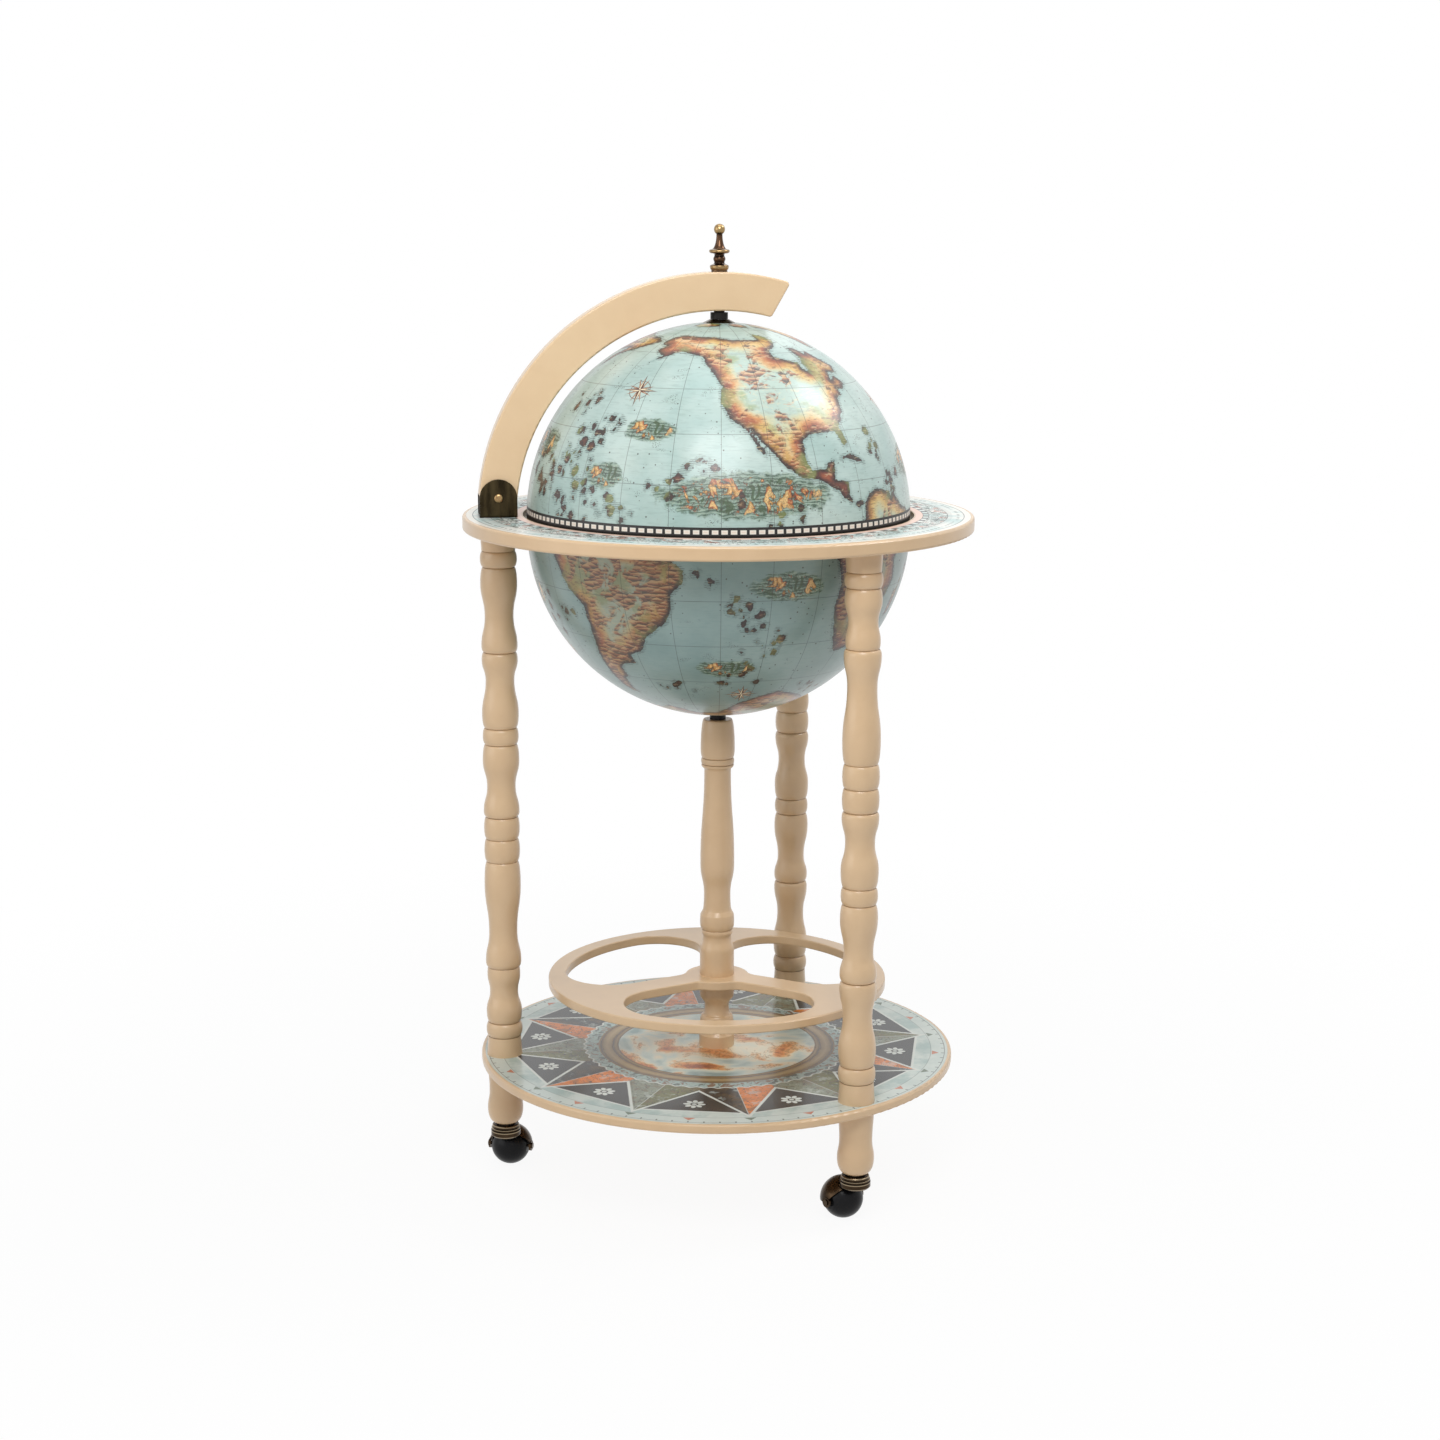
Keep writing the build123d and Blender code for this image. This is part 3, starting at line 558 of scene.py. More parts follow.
@dataclass(frozen=True)
class Plastic:
    """A moulded plastic."""

    name: str
    colour: Colour
    roughness: float
    texture_mm: float = 0.4
    relief_mm: float = 0.02
    smear_mm: float = 14.0
    specular: float = 0.16

    def material(self) -> bpy.types.Material:
        """Makes the plastic, with a fine moulded texture.

        Returns:
            The material.
        """
        paint = Paint(self.name)
        point = paint.place()
        texture = paint.noise(point, self.texture_mm, 2.0)
        smear = paint.noise(point, self.smear_mm, 3.0)
        paint.bump(texture, self.relief_mm, 0.5)
        lighter = tuple(part * 1.5 + 0.004 for part in self.colour)
        return paint.set(Base_Color=paint.blend(smear, self.colour, lighter),
                         Roughness=smear * 0.12 + self.roughness, Specular_IOR_Level=self.specular)


@dataclass(frozen=True)
class PlainWood:
    """Bare beech of the dowels."""

    light: Colour = srgb(214, 178, 132)
    dark: Colour = srgb(184, 142, 96)
    grain_mm: float = 1.2
    grain_stretch: float = 0.05
    relief_mm: float = 0.05
    roughness: float = 0.6

    def material(self) -> bpy.types.Material:
        """Makes the wood with its grain along the height.

        Returns:
            The material.
        """
        paint = Paint("bare_beech")
        x, y, z = paint.split(paint.place())
        grain = paint.noise(paint.join(x, y, z * self.grain_stretch), self.grain_mm, 4.0)
        paint.bump(grain, self.relief_mm, 0.4)
        return paint.set(Base_Color=paint.blend(grain, self.dark, self.light), Roughness=self.roughness)


# -------------------- the globe's map
class Coast(Enum):
    """Whether a coast runs round a land or right round the pole under it."""

    CLOSED = "closed"
    ROUND_THE_POLE = "round the pole"


@dataclass(frozen=True)
class Land:
    """One land of the map, as a coast of longitude and latitude in degrees."""

    name: str
    coast: str
    kind: Coast = Coast.CLOSED

    def points(self) -> np.ndarray:
        """The coast's corners, one row each."""
        return np.array([pair.split(",") for pair in self.coast.split()], float)

    def shore(self, step: float) -> np.ndarray:
        """Points along the coast, no further apart than step degrees.

        Args:
            step: The longest gap between two points.

        Returns:
            The points, one row each.
        """
        corners = self.points()
        following = np.roll(corners, -1, axis=0)
        if self.kind is Coast.ROUND_THE_POLE:
            corners, following = corners[:-1], following[:-1]
        runs = []
        for start, end in zip(corners, following):
            count = max(2, int(np.abs(end - start).max() / step) + 1)
            runs.append(start + (end - start) * np.linspace(0, 1, count, endpoint=False)[:, None])
        return np.concatenate(runs)

    def covers(self, longitude: np.ndarray, latitude: np.ndarray) -> np.ndarray:
        """Which of the places lie on this land.

        Args:
            longitude: The places' longitudes.
            latitude: The places' latitudes.

        Returns:
            A mask of the places.
        """
        corners = self.points()
        if self.kind is Coast.ROUND_THE_POLE:
            corners = np.concatenate([corners, [(180.0, -91.0), (-180.0, -91.0)]])
        inside = np.zeros(longitude.shape, bool)
        for turn in (0.0, 360.0):
            x = longitude + turn
            for (x0, y0), (x1, y1) in zip(corners, np.roll(corners, -1, axis=0)):
                if y0 != y1:
                    crosses = (y0 > latitude) != (y1 > latitude)
                    inside ^= crosses & (x < (x1 - x0) * (latitude - y0) / (y1 - y0) + x0)
        return inside


CONTINENTS = (
    Land("north_america",
         "-168,66 -162,70 -156,71 -141,70 -128,70 -115,68 -95,68 -94,72 -85,70 -82,67 -87,64 "
         "-94,61 -94,58 -88,56.5 -82,55 -82,52.5 -79.5,51.5 -79,54.5 -77,57 -78,62.5 -73,62 -69,59 "
         "-65,60 -61,56 -56,52.5 -60,50 -66,50 -70,47 -65,48.5 -61,45.5 -66,43.5 -70,43.5 -70,41.7 "
         "-74,40.5 -76,36 -81,31.5 -80,26.5 -81.5,25.5 -82.8,28.5 -84,30 -89,30 -94,29.3 "
         "-97.3,27.5 -97.8,22.5 -96,19 -91,18.8 -90.3,21 -87,21.3 -88,18 -88.5,15.8 -83.2,15 "
         "-83.7,11 -81.5,9 -79.5,9.5 -77.5,8.5 -80.5,7.3 -85.7,10.2 -87.7,12.8 -94.5,16.2 "
         "-99.5,16.7 -105.5,21 -109,25.5 -112.5,29.5 -114.7,31.5 -112.5,27.5 -110,23.2 -112,25 "
         "-117,32.5 -120.5,34.5 -124.3,40.5 -124,46 -127.5,51 -130.5,54.5 -134,58.5 -147,61 "
         "-152,59.5 -157,57.5 -163,55 -158,58.5 -165,61.5 -161,64 -166,64.5"),
    Land("south_america",
         "-77.5,8.5 -75.5,10.8 -72,12 -62,10.7 -57,6 -51.5,4.5 -50,0.5 -44,-2.5 -39,-3 -35,-6 "
         "-35,-9 -39,-13 -39,-17.5 -41,-22 -48.5,-27 -52,-33 -57.5,-34.5 -57,-38 -62,-39 -65,-41 "
         "-65,-45 -67.5,-46.5 -69,-51 -68.5,-54.5 -72,-54 -75,-50 -75,-46 -73.5,-37 -71.5,-32 "
         "-70.5,-25 -70.2,-19 -76,-14 -79,-8.5 -81,-5 -80,1 -77.5,4"),
    Land("africa",
         "-6,35.8 10,37 11,33.5 19.5,30.5 22,32.5 31,31.3 34,28 37,21 39.5,15.5 43,11.7 51,11.8 "
         "47,5 41,-2 39,-6.5 40.5,-13 35.5,-20 35.5,-24 32.5,-28 27,-33.7 20,-34.8 18,-32 15,-27 "
         "12.5,-18 13.5,-12 12,-5 9,-1 9.5,3.5 4,6.3 -2,4.8 -7.5,4.4 -13,8.5 -17,14.5 -16.5,20 "
         "-14,26 -9.8,30 -8,33.5"),
    Land("eurasia",
         "-9.5,37 -9,43 -2,43.5 -1.5,46 -4.5,48.5 4,52 8,54 8.3,57 11,54.5 19,54.5 24,59 29,60 "
         "21.5,62 25,65.5 17.5,62 18.5,60 14,55.5 11.5,58.5 5,61 14.5,68 28,71 41,67 44,68.3 "
         "68,68.5 68,72.5 80,73 104,77.5 127,73 152,71 180,68.5 190,66.3 178,62.3 163,58 156.7,51 "
         "155.5,56 163,61.5 142,59 135.5,54.5 141,52.5 135,43.5 127.5,39.5 129.3,36.5 126.5,36.5 "
         "125,39.7 118,39 122,37 119.3,35 121.8,31 119.5,25.5 108.5,21.6 106,18.5 109,12.5 105,8.8 "
         "100.5,13.3 99.3,9.5 104,1.4 98.3,9 97,17 91.5,22.7 87,21.4 80.2,13 77.5,8 72.8,19.5 "
         "66.7,25.2 57.5,25.7 48.5,30.2 51.5,24.5 56.3,26.3 59.7,22.5 55,17.3 45,12.8 39,21.5 "
         "34.3,31.3 36,36.5 27,37.3 26.3,40 41.5,41.5 37.5,44.7 33.5,44.5 31,46.5 28,41.3 "
         "23.5,40.5 22.5,36.6 19.3,42 13.5,45.5 16,41.8 18.4,40 16,38 10,44 3.2,43 -0.5,39 -2,36.8"),
    Land("australia",
         "114,-22 115.7,-32 124,-33.5 131,-31.5 138,-35.5 146.5,-39 150,-37 153,-31.5 153,-25.5 "
         "146,-18.8 142.3,-11 139.5,-17.5 135.5,-15 136.5,-12 131,-11.5 122.5,-17.5"),
    Land("polar_west", "-175,80 -150,79 -125,80.5 -120,84 -150,85.5 -178,84.5"),
    Land("polar_east", "-100,79.5 -82,78 -72,80.5 -70,84 -85,85.5 -108,83"),
    Land("greenland",
         "-45,60 -42,63 -33,67.5 -23,70.5 -18,80 -32,83 -55,81.5 -68,79 -60,76 -54,71.5 -50,62"),
    Land("southern_land",
         "-180,-72 -150,-66 -120,-70 -95,-63 -70,-66 -58,-62 -40,-69 -25,-68 -12,-57 4,-51 20,-55 "
         "38,-61 60,-66 85,-62 110,-66 135,-61 160,-68 180,-72", Coast.ROUND_THE_POLE),
    Land("madagascar", "44,-25 47,-25 50,-15.5 44.3,-17"),
    Land("japan", "131,33.5 140.5,35.5 142,39.5 145,43.5 140,42 139.5,38"),
    Land("britain", "-5.5,50 1,51.3 -2,56 -4,58.5 -6,56.5"),
    Land("new_guinea", "131,-1 141,-2.6 150.5,-10.5 143,-9 133,-4"),
    Land("borneo", "109,1.5 117,7 119,4.5 116,-4 110.3,-2.8"),
    Land("sumatra", "95.5,5.5 106,-3.5 105,-5.8"),
    Land("new_zealand", "173,-35 178.4,-37.7 171,-44 167,-46.5 174,-40"),
    Land("cuba", "-84.5,22 -74.5,20 -80,23"),
)


@dataclass(frozen=True)
class Islets:
    """A scatter of small islands about one place, with sizes in degrees."""

    longitude: float
    latitude: float
    spread: float
    count: int
    seed: int
    flatness: float = 0.6
    sizes: tuple[float, float] = (0.7, 1.9)
    unevenness: tuple[float, float] = (0.5, 1.1)
    corners: int = 8

    def lands(self) -> list[Land]:
        """Draws each islet as a small uneven ring.

        Returns:
            The islets, the same on each run.
        """
        chance = random.Random(self.seed)
        drawn = []
        for index in range(self.count):
            east = chance.gauss(self.longitude, self.spread)
            north = chance.gauss(self.latitude, self.spread * self.flatness)
            size = chance.uniform(*self.sizes)
            coast = []
            for corner in range(self.corners):
                reach = size * chance.uniform(*self.unevenness)
                turn = math.tau * corner / self.corners
                coast.append(f"{east + reach * math.cos(turn):.2f},{north + reach * math.sin(turn):.2f}")
            drawn.append(Land(f"islet_{self.seed}_{index}", " ".join(coast)))
        return drawn


ISLET_GROUPS = tuple(Islets(*group, seed) for seed, group in enumerate((
    (-172, 22, 5, 12), (-160, 8, 4, 9), (-140, 14, 3, 6), (-118, 12, 2, 3), (178, 40, 5, 8),
    (-68, 24, 3, 9), (-20, -18, 5, 8), (-12, -36, 4, 6), (-28, -8, 3, 4), (-45, -48, 3, 6),
    (60, -12, 6, 14), (124, 10, 4, 12), (165, -8, 6, 16), (-24, 36, 3, 7), (75, -50, 4, 6),
    (-150, -20, 8, 18), (171, 16, 6, 24), (-176, 5, 6, 18), (-163, 33, 4, 8), (-131, 22, 4, 6),
    (-104, 5, 4, 7), (-9, -24, 6, 8), (-20, -42, 5, 7), (-62, 14, 4, 9), (50, 4, 5, 9), (90, -8, 7, 14),
    (-90, -22, 6, 12), (20, -50, 5, 8), (-174, 30, 3, 7), (-170, 12, 3, 7),
), start=1))


class Shoreline:
    """How far each place on the globe lies inside its nearest coast."""

    STEP = 0.5

    def __init__(self, lands: Iterable[Land]) -> None:
        """Walks every coast once and keeps its points in a tree.

        Args:
            lands: The lands of the map.
        """
        self.lands = list(lands)
        shores = np.concatenate([land.shore(self.STEP) for land in self.lands])
        log.info("the map has %d coasts, the last of them %s", len(self.lands), self.lands[-1].name)
        unit = self.unit(shores[:, 0], shores[:, 1])
        self.tree = kdtree.KDTree(len(unit))
        for index, point in enumerate(unit):
            self.tree.insert(point, index)
        self.tree.balance()

    @staticmethod
    def unit(longitude: np.ndarray, latitude: np.ndarray) -> np.ndarray:
        """Unit vectors of places given in degrees."""
        turn, rise = np.radians(longitude), np.radians(latitude)
        return np.stack([np.cos(turn) * np.cos(rise), np.sin(turn) * np.cos(rise), np.sin(rise)], axis=1)

    def depth(self, longitude: np.ndarray, latitude: np.ndarray) -> np.ndarray:
        """Distance to the nearest coast in globe radii, above 0 on land and below 0 at sea.

        Args:
            longitude: The places' longitudes.
            latitude: The places' latitudes.

        Returns:
            The distances.
        """
        distance = np.array([self.tree.find(point)[2] for point in self.unit(longitude, latitude)])
        on_land = np.zeros(longitude.shape, bool)
        for land in self.lands:
            on_land |= land.covers(longitude, latitude)
        return np.where(on_land, distance, -distance)


@dataclass(frozen=True)
class Rose:
    """A compass rose printed on the sea."""

    longitude: float
    latitude: float
    reach_mm: float
    ring_share: float = 0.62
    root_share: float = 0.16
    paper: Colour = srgb(236, 222, 190)
    ring: Colour = srgb(96, 60, 44)
    minor: Colour = srgb(150, 96, 60)
    major: Colour = srgb(86, 48, 36)


@dataclass(frozen=True)
class Reef:
    """A green shoal with ochre sandbanks, printed on the sea."""

    longitude: float
    latitude: float
    width_mm: float
    height_mm: float
    wave_mm: float = 3.2
    deep: Colour = srgb(70, 98, 78)
    shallow: Colour = srgb(118, 144, 122)
    trough: Colour = srgb(46, 72, 52)
    crest: Colour = srgb(194, 210, 190)
    weed: Colour = srgb(54, 80, 44)
    shore: Colour = srgb(58, 36, 26)
    red_sand: Colour = srgb(176, 94, 56)
    gold_sand: Colour = srgb(196, 142, 74)
    pale_sand: Colour = srgb(232, 194, 132)
    vein: Colour = srgb(62, 46, 34)


@dataclass(frozen=True)
class GlobeMap:
    """The varnished map on one half of the globe, with its front longitude at the front angle about Z."""

    name: str
    centre_mm: tuple[float, float, float]
    radius_mm: float
    front_longitude: float
    roses: tuple[Rose, ...]
    reefs: tuple[Reef, ...]
    band: bool
    front_angle: float = -98.3
    grid_degrees: float = 15.0
    grid_line_mm: float = 0.22
    grid_soft_mm: float = 0.14
    coast_mm: float = 22.0
    hill_mm: float = 4.6
    hill_gap: float = 0.545
    band_top_mm: float = 10.1
    dash_low_mm: float = 4.5
    dash_high_mm: float = 7.9
    dash_count: int = 136
    dash_share: float = 0.68
    sea: Colour = srgb(160, 189, 184)
    sea_pale: Colour = srgb(196, 215, 209)
    shallow: Colour = srgb(104, 136, 132)
    ink: Colour = srgb(52, 50, 46)
    # A tone laid over the land; darker than white it is painted shade.
    land_shade_tone: Colour = srgb(255, 255, 255)
    rust_land: Stops = (
        (0.0, srgb(24, 16, 15)), (0.07, srgb(52, 30, 24)), (0.16, srgb(106, 54, 40)),
        (0.3, srgb(164, 90, 58)), (0.46, srgb(206, 146, 92)), (0.62, srgb(214, 186, 140)),
        (0.8, srgb(194, 206, 184)), (1.0, srgb(184, 206, 196)))
    gold_land: Stops = (
        (0.0, srgb(24, 18, 15)), (0.09, srgb(48, 34, 24)), (0.16, srgb(124, 84, 42)),
        (0.26, srgb(190, 146, 78)), (0.5, srgb(220, 188, 120)), (0.72, srgb(206, 202, 160)),
        (1.0, srgb(184, 206, 196)))
    hills: Stops = (
        (0.15, srgb(62, 34, 28)), (0.36, srgb(122, 64, 44)), (0.55, srgb(176, 106, 72)),
        (0.8, srgb(220, 184, 140)))
    meadow: Colour = srgb(142, 158, 96)
    dark_stroke: Colour = srgb(96, 52, 38)
    pale_stroke: Colour = srgb(236, 218, 178)
    age: Colour = srgb(214, 206, 190)
    band_black: Colour = srgb(20, 18, 18)
    dash_white: Colour = srgb(236, 232, 222)
    dash_blush: Colour = srgb(226, 196, 176)
    roughness: float = 0.34
    gloss: float = 0.5
    band_gloss: float = 0.1
    gloss_roughness: float = 0.2

    def local(self, paint: Paint, point: Wire, longitude: float, latitude: float) -> tuple[Wire, Wire, Wire]:
        """Lays a flat east and north frame, in millimetres, over one place of the globe.

        Args:
            paint: The paint to add nodes to.
            point: The point from the centre, in millimetres.
            longitude: The place's longitude in degrees.
            latitude: The place's latitude in degrees.

        Returns:
            How far east and north of the place a point lies, and a mask of this side.
        """
        turn = math.radians(longitude - self.front_longitude + self.front_angle)
        rise = math.radians(latitude)
        east = (-math.sin(turn), math.cos(turn), 0.0)
        north = (-math.cos(turn) * math.sin(rise), -math.sin(turn) * math.sin(rise), math.cos(rise))
        out = (math.cos(turn) * math.cos(rise), math.sin(turn) * math.cos(rise), math.sin(rise))
        side = paint.vector("DOT_PRODUCT", point, out).above(self.radius_mm * 0.5, 1.0)
        return paint.vector("DOT_PRODUCT", point, east), paint.vector("DOT_PRODUCT", point, north), side

    def grid(self, paint: Paint, point: Wire) -> Wire:
        """The lines of the graticule, as a mask.

        Args:
            paint: The paint to add nodes to.
            point: The point from the centre, in millimetres.

        Returns:
            The mask.
        """
        x, y, z = paint.split(point)
        cell_mm = math.radians(self.grid_degrees) * self.radius_mm
        across = paint.math("ARCTAN2", y, x) / math.radians(self.grid_degrees)
        across = abs(across.fraction() - 0.5)
        level = z / self.radius_mm
        up = paint.math("ARCSINE", level) / math.radians(self.grid_degrees)
        up = abs((up + 0.5).fraction() - 0.5)
        ring = paint.math("SQRT", 1.0 - level * level)
        meridians = (across * ring * cell_mm).below(self.grid_line_mm, self.grid_soft_mm)
        parallels = (up * cell_mm).below(self.grid_line_mm, self.grid_soft_mm)
        return paint.math("MAXIMUM", meridians, parallels)

    def land_colours(self, paint: Paint, point: Wire, depth: Wire) -> Wire:
        """Near-black coasts that turn red-brown and ochre to a pale inland, with rows of brown hills.

        Args:
            paint: The paint to add nodes to.
            point: The point from the centre, in millimetres.
            depth: How far inland it lies, in millimetres.

        Returns:
            The land's colour.
        """
        reach = depth * (paint.noise(point, 24.0, 4.0) * 1.4 + 0.35)
        rust = paint.ramp(reach / self.coast_mm, self.rust_land)
        gold = paint.ramp(reach / self.coast_mm, self.gold_land)
        colour = paint.blend(paint.noise(point, 46.0, 3.0).above(0.5, 0.05), rust, gold)
        meadow = paint.noise(point, 30.0, 4.0)
        colour = paint.blend(meadow.above(0.58, 0.05) * 0.6, colour, self.meadow)
        stretched = paint.vector("MULTIPLY", point, (0.6, 0.6, 1.3))
        slope = paint.hill(stretched, self.hill_mm)
        hills = paint.ramp(slope * 0.9 + 0.5, self.hills)
        country = paint.noise(point, 22.0, 5.0, 0.62, 0.9).above(self.hill_gap, 0.04) * depth.above(3.5, 2.0)
        colour = paint.blend(country * 0.85, colour, hills)
        strokes = paint.noise(paint.vector("MULTIPLY", point, (0.7, 0.7, 3.0)), 5.0, 4.0, 0.65, 0.6)
        near = reach.below(17.0, 6.0) * 0.4 + 0.12
        colour = paint.blend(strokes.above(0.58, 0.03) * near, colour, self.dark_stroke)
        return paint.blend(strokes.below(0.4, 0.03) * 0.35, colour, self.pale_stroke)

    def sea_colours(self, paint: Paint, point: Wire, depth: Wire) -> Wire:
        """Mottled aqua that darkens towards the coasts, with short strokes there and patches of dots.

        Args:
            paint: The paint to add nodes to.
            point: The point from the centre, in millimetres.
            depth: How far inland it lies, in millimetres, below 0 at sea.

        Returns:
            The sea's colour.
        """
        colour = paint.blend(paint.noise(point, 60.0, 5.0).above(0.5, 0.25), self.sea, self.sea_pale)
        x, y, z = paint.split(point)
        wave = paint.noise(paint.join(x, y, z * 6.0), 9.0, 4.0)
        colour = paint.blend(wave.above(0.58, 0.12) * 0.2, colour, self.shallow)
        colour = paint.blend(depth.above(-1.6, 1.6) * 0.35, colour, self.shallow)
        strokes = (z / 1.4 + paint.noise(point, 12.0) * 2.0).fraction().below(0.34, 0.12)
        ragged = paint.noise(point, 5.0).above(0.48, 0.05)
        colour = paint.blend(strokes * ragged * depth.above(-2.6, 0.8) * 0.75, colour, self.ink)
        tall = paint.join(x, y, z * 2.2)
        dots = paint.cells(tall, 1.5)[0].below(0.3, 0.06)
        patches = paint.noise(tall, 20.0, 2.0, 0.5).above(0.66, 0.01)
        return paint.blend(dots * patches * 0.8, colour, self.ink)

    def add_reef(self, paint: Paint, point: Wire, colour: Wire, reef: Reef) -> Wire:
        """Lays one shoal over the sea.

        Args:
            paint: The paint to add nodes to.
            point: The point from the centre, in millimetres.
            colour: The colour so far.
            reef: The shoal.

        Returns:
            The colour with the shoal on it.
        """
        east, north, side = self.local(paint, point, reef.longitude, reef.latitude)
        u, v = east / (reef.width_mm / 2), north / (reef.height_mm / 2)
        spread = paint.math("SQRT", u * u + v * v) + (paint.noise(point, 11.0, 6.0, 0.7) - 0.5) * 0.9
        water = spread.below(0.92, 0.1) * side
        swell = paint.noise(paint.join(east, north * 2.5), 16.0, 4.0, 0.6)
        waves = (north / reef.wave_mm + swell * 4.0).fraction()
        shade = paint.noise(paint.join(east, north * 2.0), 18.0, 3.0)
        shoal = paint.blend(shade.above(0.5, 0.1), reef.deep, reef.shallow)
        colour = paint.blend(water * 0.7, colour, shoal)
        colour = paint.blend(water * waves.below(0.3, 0.1) * 0.8, colour, reef.trough)
        colour = paint.blend(water * waves.between(0.5, 0.7, 0.06) * 0.45, colour, reef.crest)
        bank = paint.noise(paint.join(east, north * 0.7), 11.0, 5.0, 0.58, 0.9)
        core = spread.below(0.74, 0.06) * side
        colour = paint.blend(core * bank.below(0.42, 0.02) * 0.85, colour, reef.weed)
        colour = paint.blend(core * bank.above(0.535, 0.012), colour, reef.shore)
        sand = core * bank.above(0.555, 0.012)
        ochre = paint.blend(shade.above(0.5, 0.05), reef.red_sand, reef.gold_sand)
        colour = paint.blend(sand, colour, ochre)
        colour = paint.blend(sand * bank.above(0.6, 0.02), colour, reef.pale_sand)
        veins = paint.noise(point, 3.0, 3.0, 0.6).between(0.47, 0.52, 0.012)
        return paint.blend(veins * core * 0.5, colour, reef.vein)

    def add_rose(self, paint: Paint, point: Wire, colour: Wire, rose: Rose) -> Wire:
        """Lays one compass rose over the sea.

        Args:
            paint: The paint to add nodes to.
            point: The point from the centre, in millimetres.
            colour: The colour so far.
            rose: The compass rose.

        Returns:
            The colour with the rose on it.
        """
        east, north, side = self.local(paint, point, rose.longitude, rose.latitude)
        star = Star(paint, east, north)
        ring = side * abs(star.radius - rose.reach_mm * rose.ring_share).below(0.3, 0.18)
        colour = paint.blend(ring * 0.9, colour, rose.ring)
        for points, shift, tip, shade in ((8, 0.5, 0.72, rose.minor), (4, 0.0, 1.0, rose.major)):
            edge, lean = star.edge(points, shift, rose.reach_mm * tip, rose.reach_mm * rose.root_share)
            inside = edge.above(0.0, 0.2) * side
            colour = paint.blend(inside, colour, rose.paper)
            colour = paint.blend(inside * lean.above(0.0, 0.1), colour, shade)
            colour = paint.blend(edge.between(-0.25, 0.25, 0.15) * side * 0.9, colour, shade)
        return colour

    def add_band(self, paint: Paint, point: Wire, colour: Wire) -> Wire:
        """Lays the black band with white dashes round the equator.

        Args:
            paint: The paint to add nodes to.
            point: The point from the centre, in millimetres.
            colour: The colour so far.

        Returns:
            The colour with the band on it.
        """
        x, y, z = paint.split(point)
        turn = paint.math("ARCTAN2", y, x) * (self.dash_count / math.tau)
        dash = turn.fraction().between(0.5 - self.dash_share / 2, 0.5 + self.dash_share / 2, 0.03)
        colour = paint.blend(z.below(self.band_top_mm, 0.12), colour, self.band_black)
        white = dash * z.between(self.dash_low_mm, self.dash_high_mm, 0.15)
        level = z.between(self.dash_low_mm + 1, self.dash_high_mm - 1, 0.2)
        inner = turn.fraction().between(0.28, 0.72, 0.04) * level
        colour = paint.blend(white, colour, self.dash_white)
        return paint.blend(inner * white * 0.35, colour, self.dash_blush)

    def add_specks(self, paint: Paint, point: Wire, colour: Wire, land: Wire) -> Wire:
        """Lays small dark islets over the sea, thick on the shoals and sparse elsewhere.

        Args:
            paint: The paint to add nodes to.
            point: The point from the centre, in millimetres.
            colour: The colour so far.
            land: A mask of the land.

        Returns:
            The colour with the specks on it.
        """
        marks, tint, _ = paint.cells(point, 4.2)
        shoals = paint.noise(point, 22.0, 3.0).above(0.62, 0.015)
        sparse = paint.split(tint)[0].above(0.86, 0.01)
        specks = marks.below(0.17, 0.04) * paint.math("MAXIMUM", shoals, sparse)
        return paint.blend(specks * (1.0 - land) * 0.85, colour, self.ink)

    def material(self) -> bpy.types.Material:
        """Makes the map and its varnish.

        Returns:
            The material.
        """
        paint = Paint(self.name)
        point = paint.place(self.centre_mm)
        bays = (paint.noise(point, 11.0, 6.0, 0.66) - 0.5) * 7.0
        creeks = (paint.noise(point, 2.2, 3.0, 0.6) - 0.5) * 2.0
        depth = paint.attribute("land_depth") * self.radius_mm + (bays + creeks)
        land = depth.above(0.0, 0.22)
        colour = self.sea_colours(paint, point, depth)
        for reef in self.reefs:
            colour = self.add_reef(paint, point, colour, reef)
        for rose in self.roses:
            colour = self.add_rose(paint, point, colour, rose)
        # The land tone darkens the land, as painted shade on the lower half.
        shade_toned_land = paint.blend(1.0, self.land_colours(paint, point, depth), self.land_shade_tone, "MULTIPLY")
        colour = paint.blend(land, colour, shade_toned_land)
        colour = paint.blend(self.grid(paint, point) * 0.7, colour, self.ink)
        colour = self.add_specks(paint, point, colour, land)
        age = paint.noise(point, 40.0, 6.0, 0.7)
        colour = paint.blend(age.above(0.55, 0.2) * 0.2, colour, self.age, "MULTIPLY")
        varnish = self.gloss
        if self.band:
            colour = self.add_band(paint, point, colour)
            over_band = paint.split(point)[2].above(self.band_top_mm, 0.2)
            varnish = over_band * (self.gloss - self.band_gloss) + self.band_gloss
        paint.bump(paint.noise(point, 30.0, 2.0), 0.12, 0.25)
        return paint.set(Base_Color=colour, Roughness=paint.noise(point, 25.0, 3.0) * 0.12 + self.roughness,
                         Coat_Weight=varnish, Coat_Roughness=self.gloss_roughness)


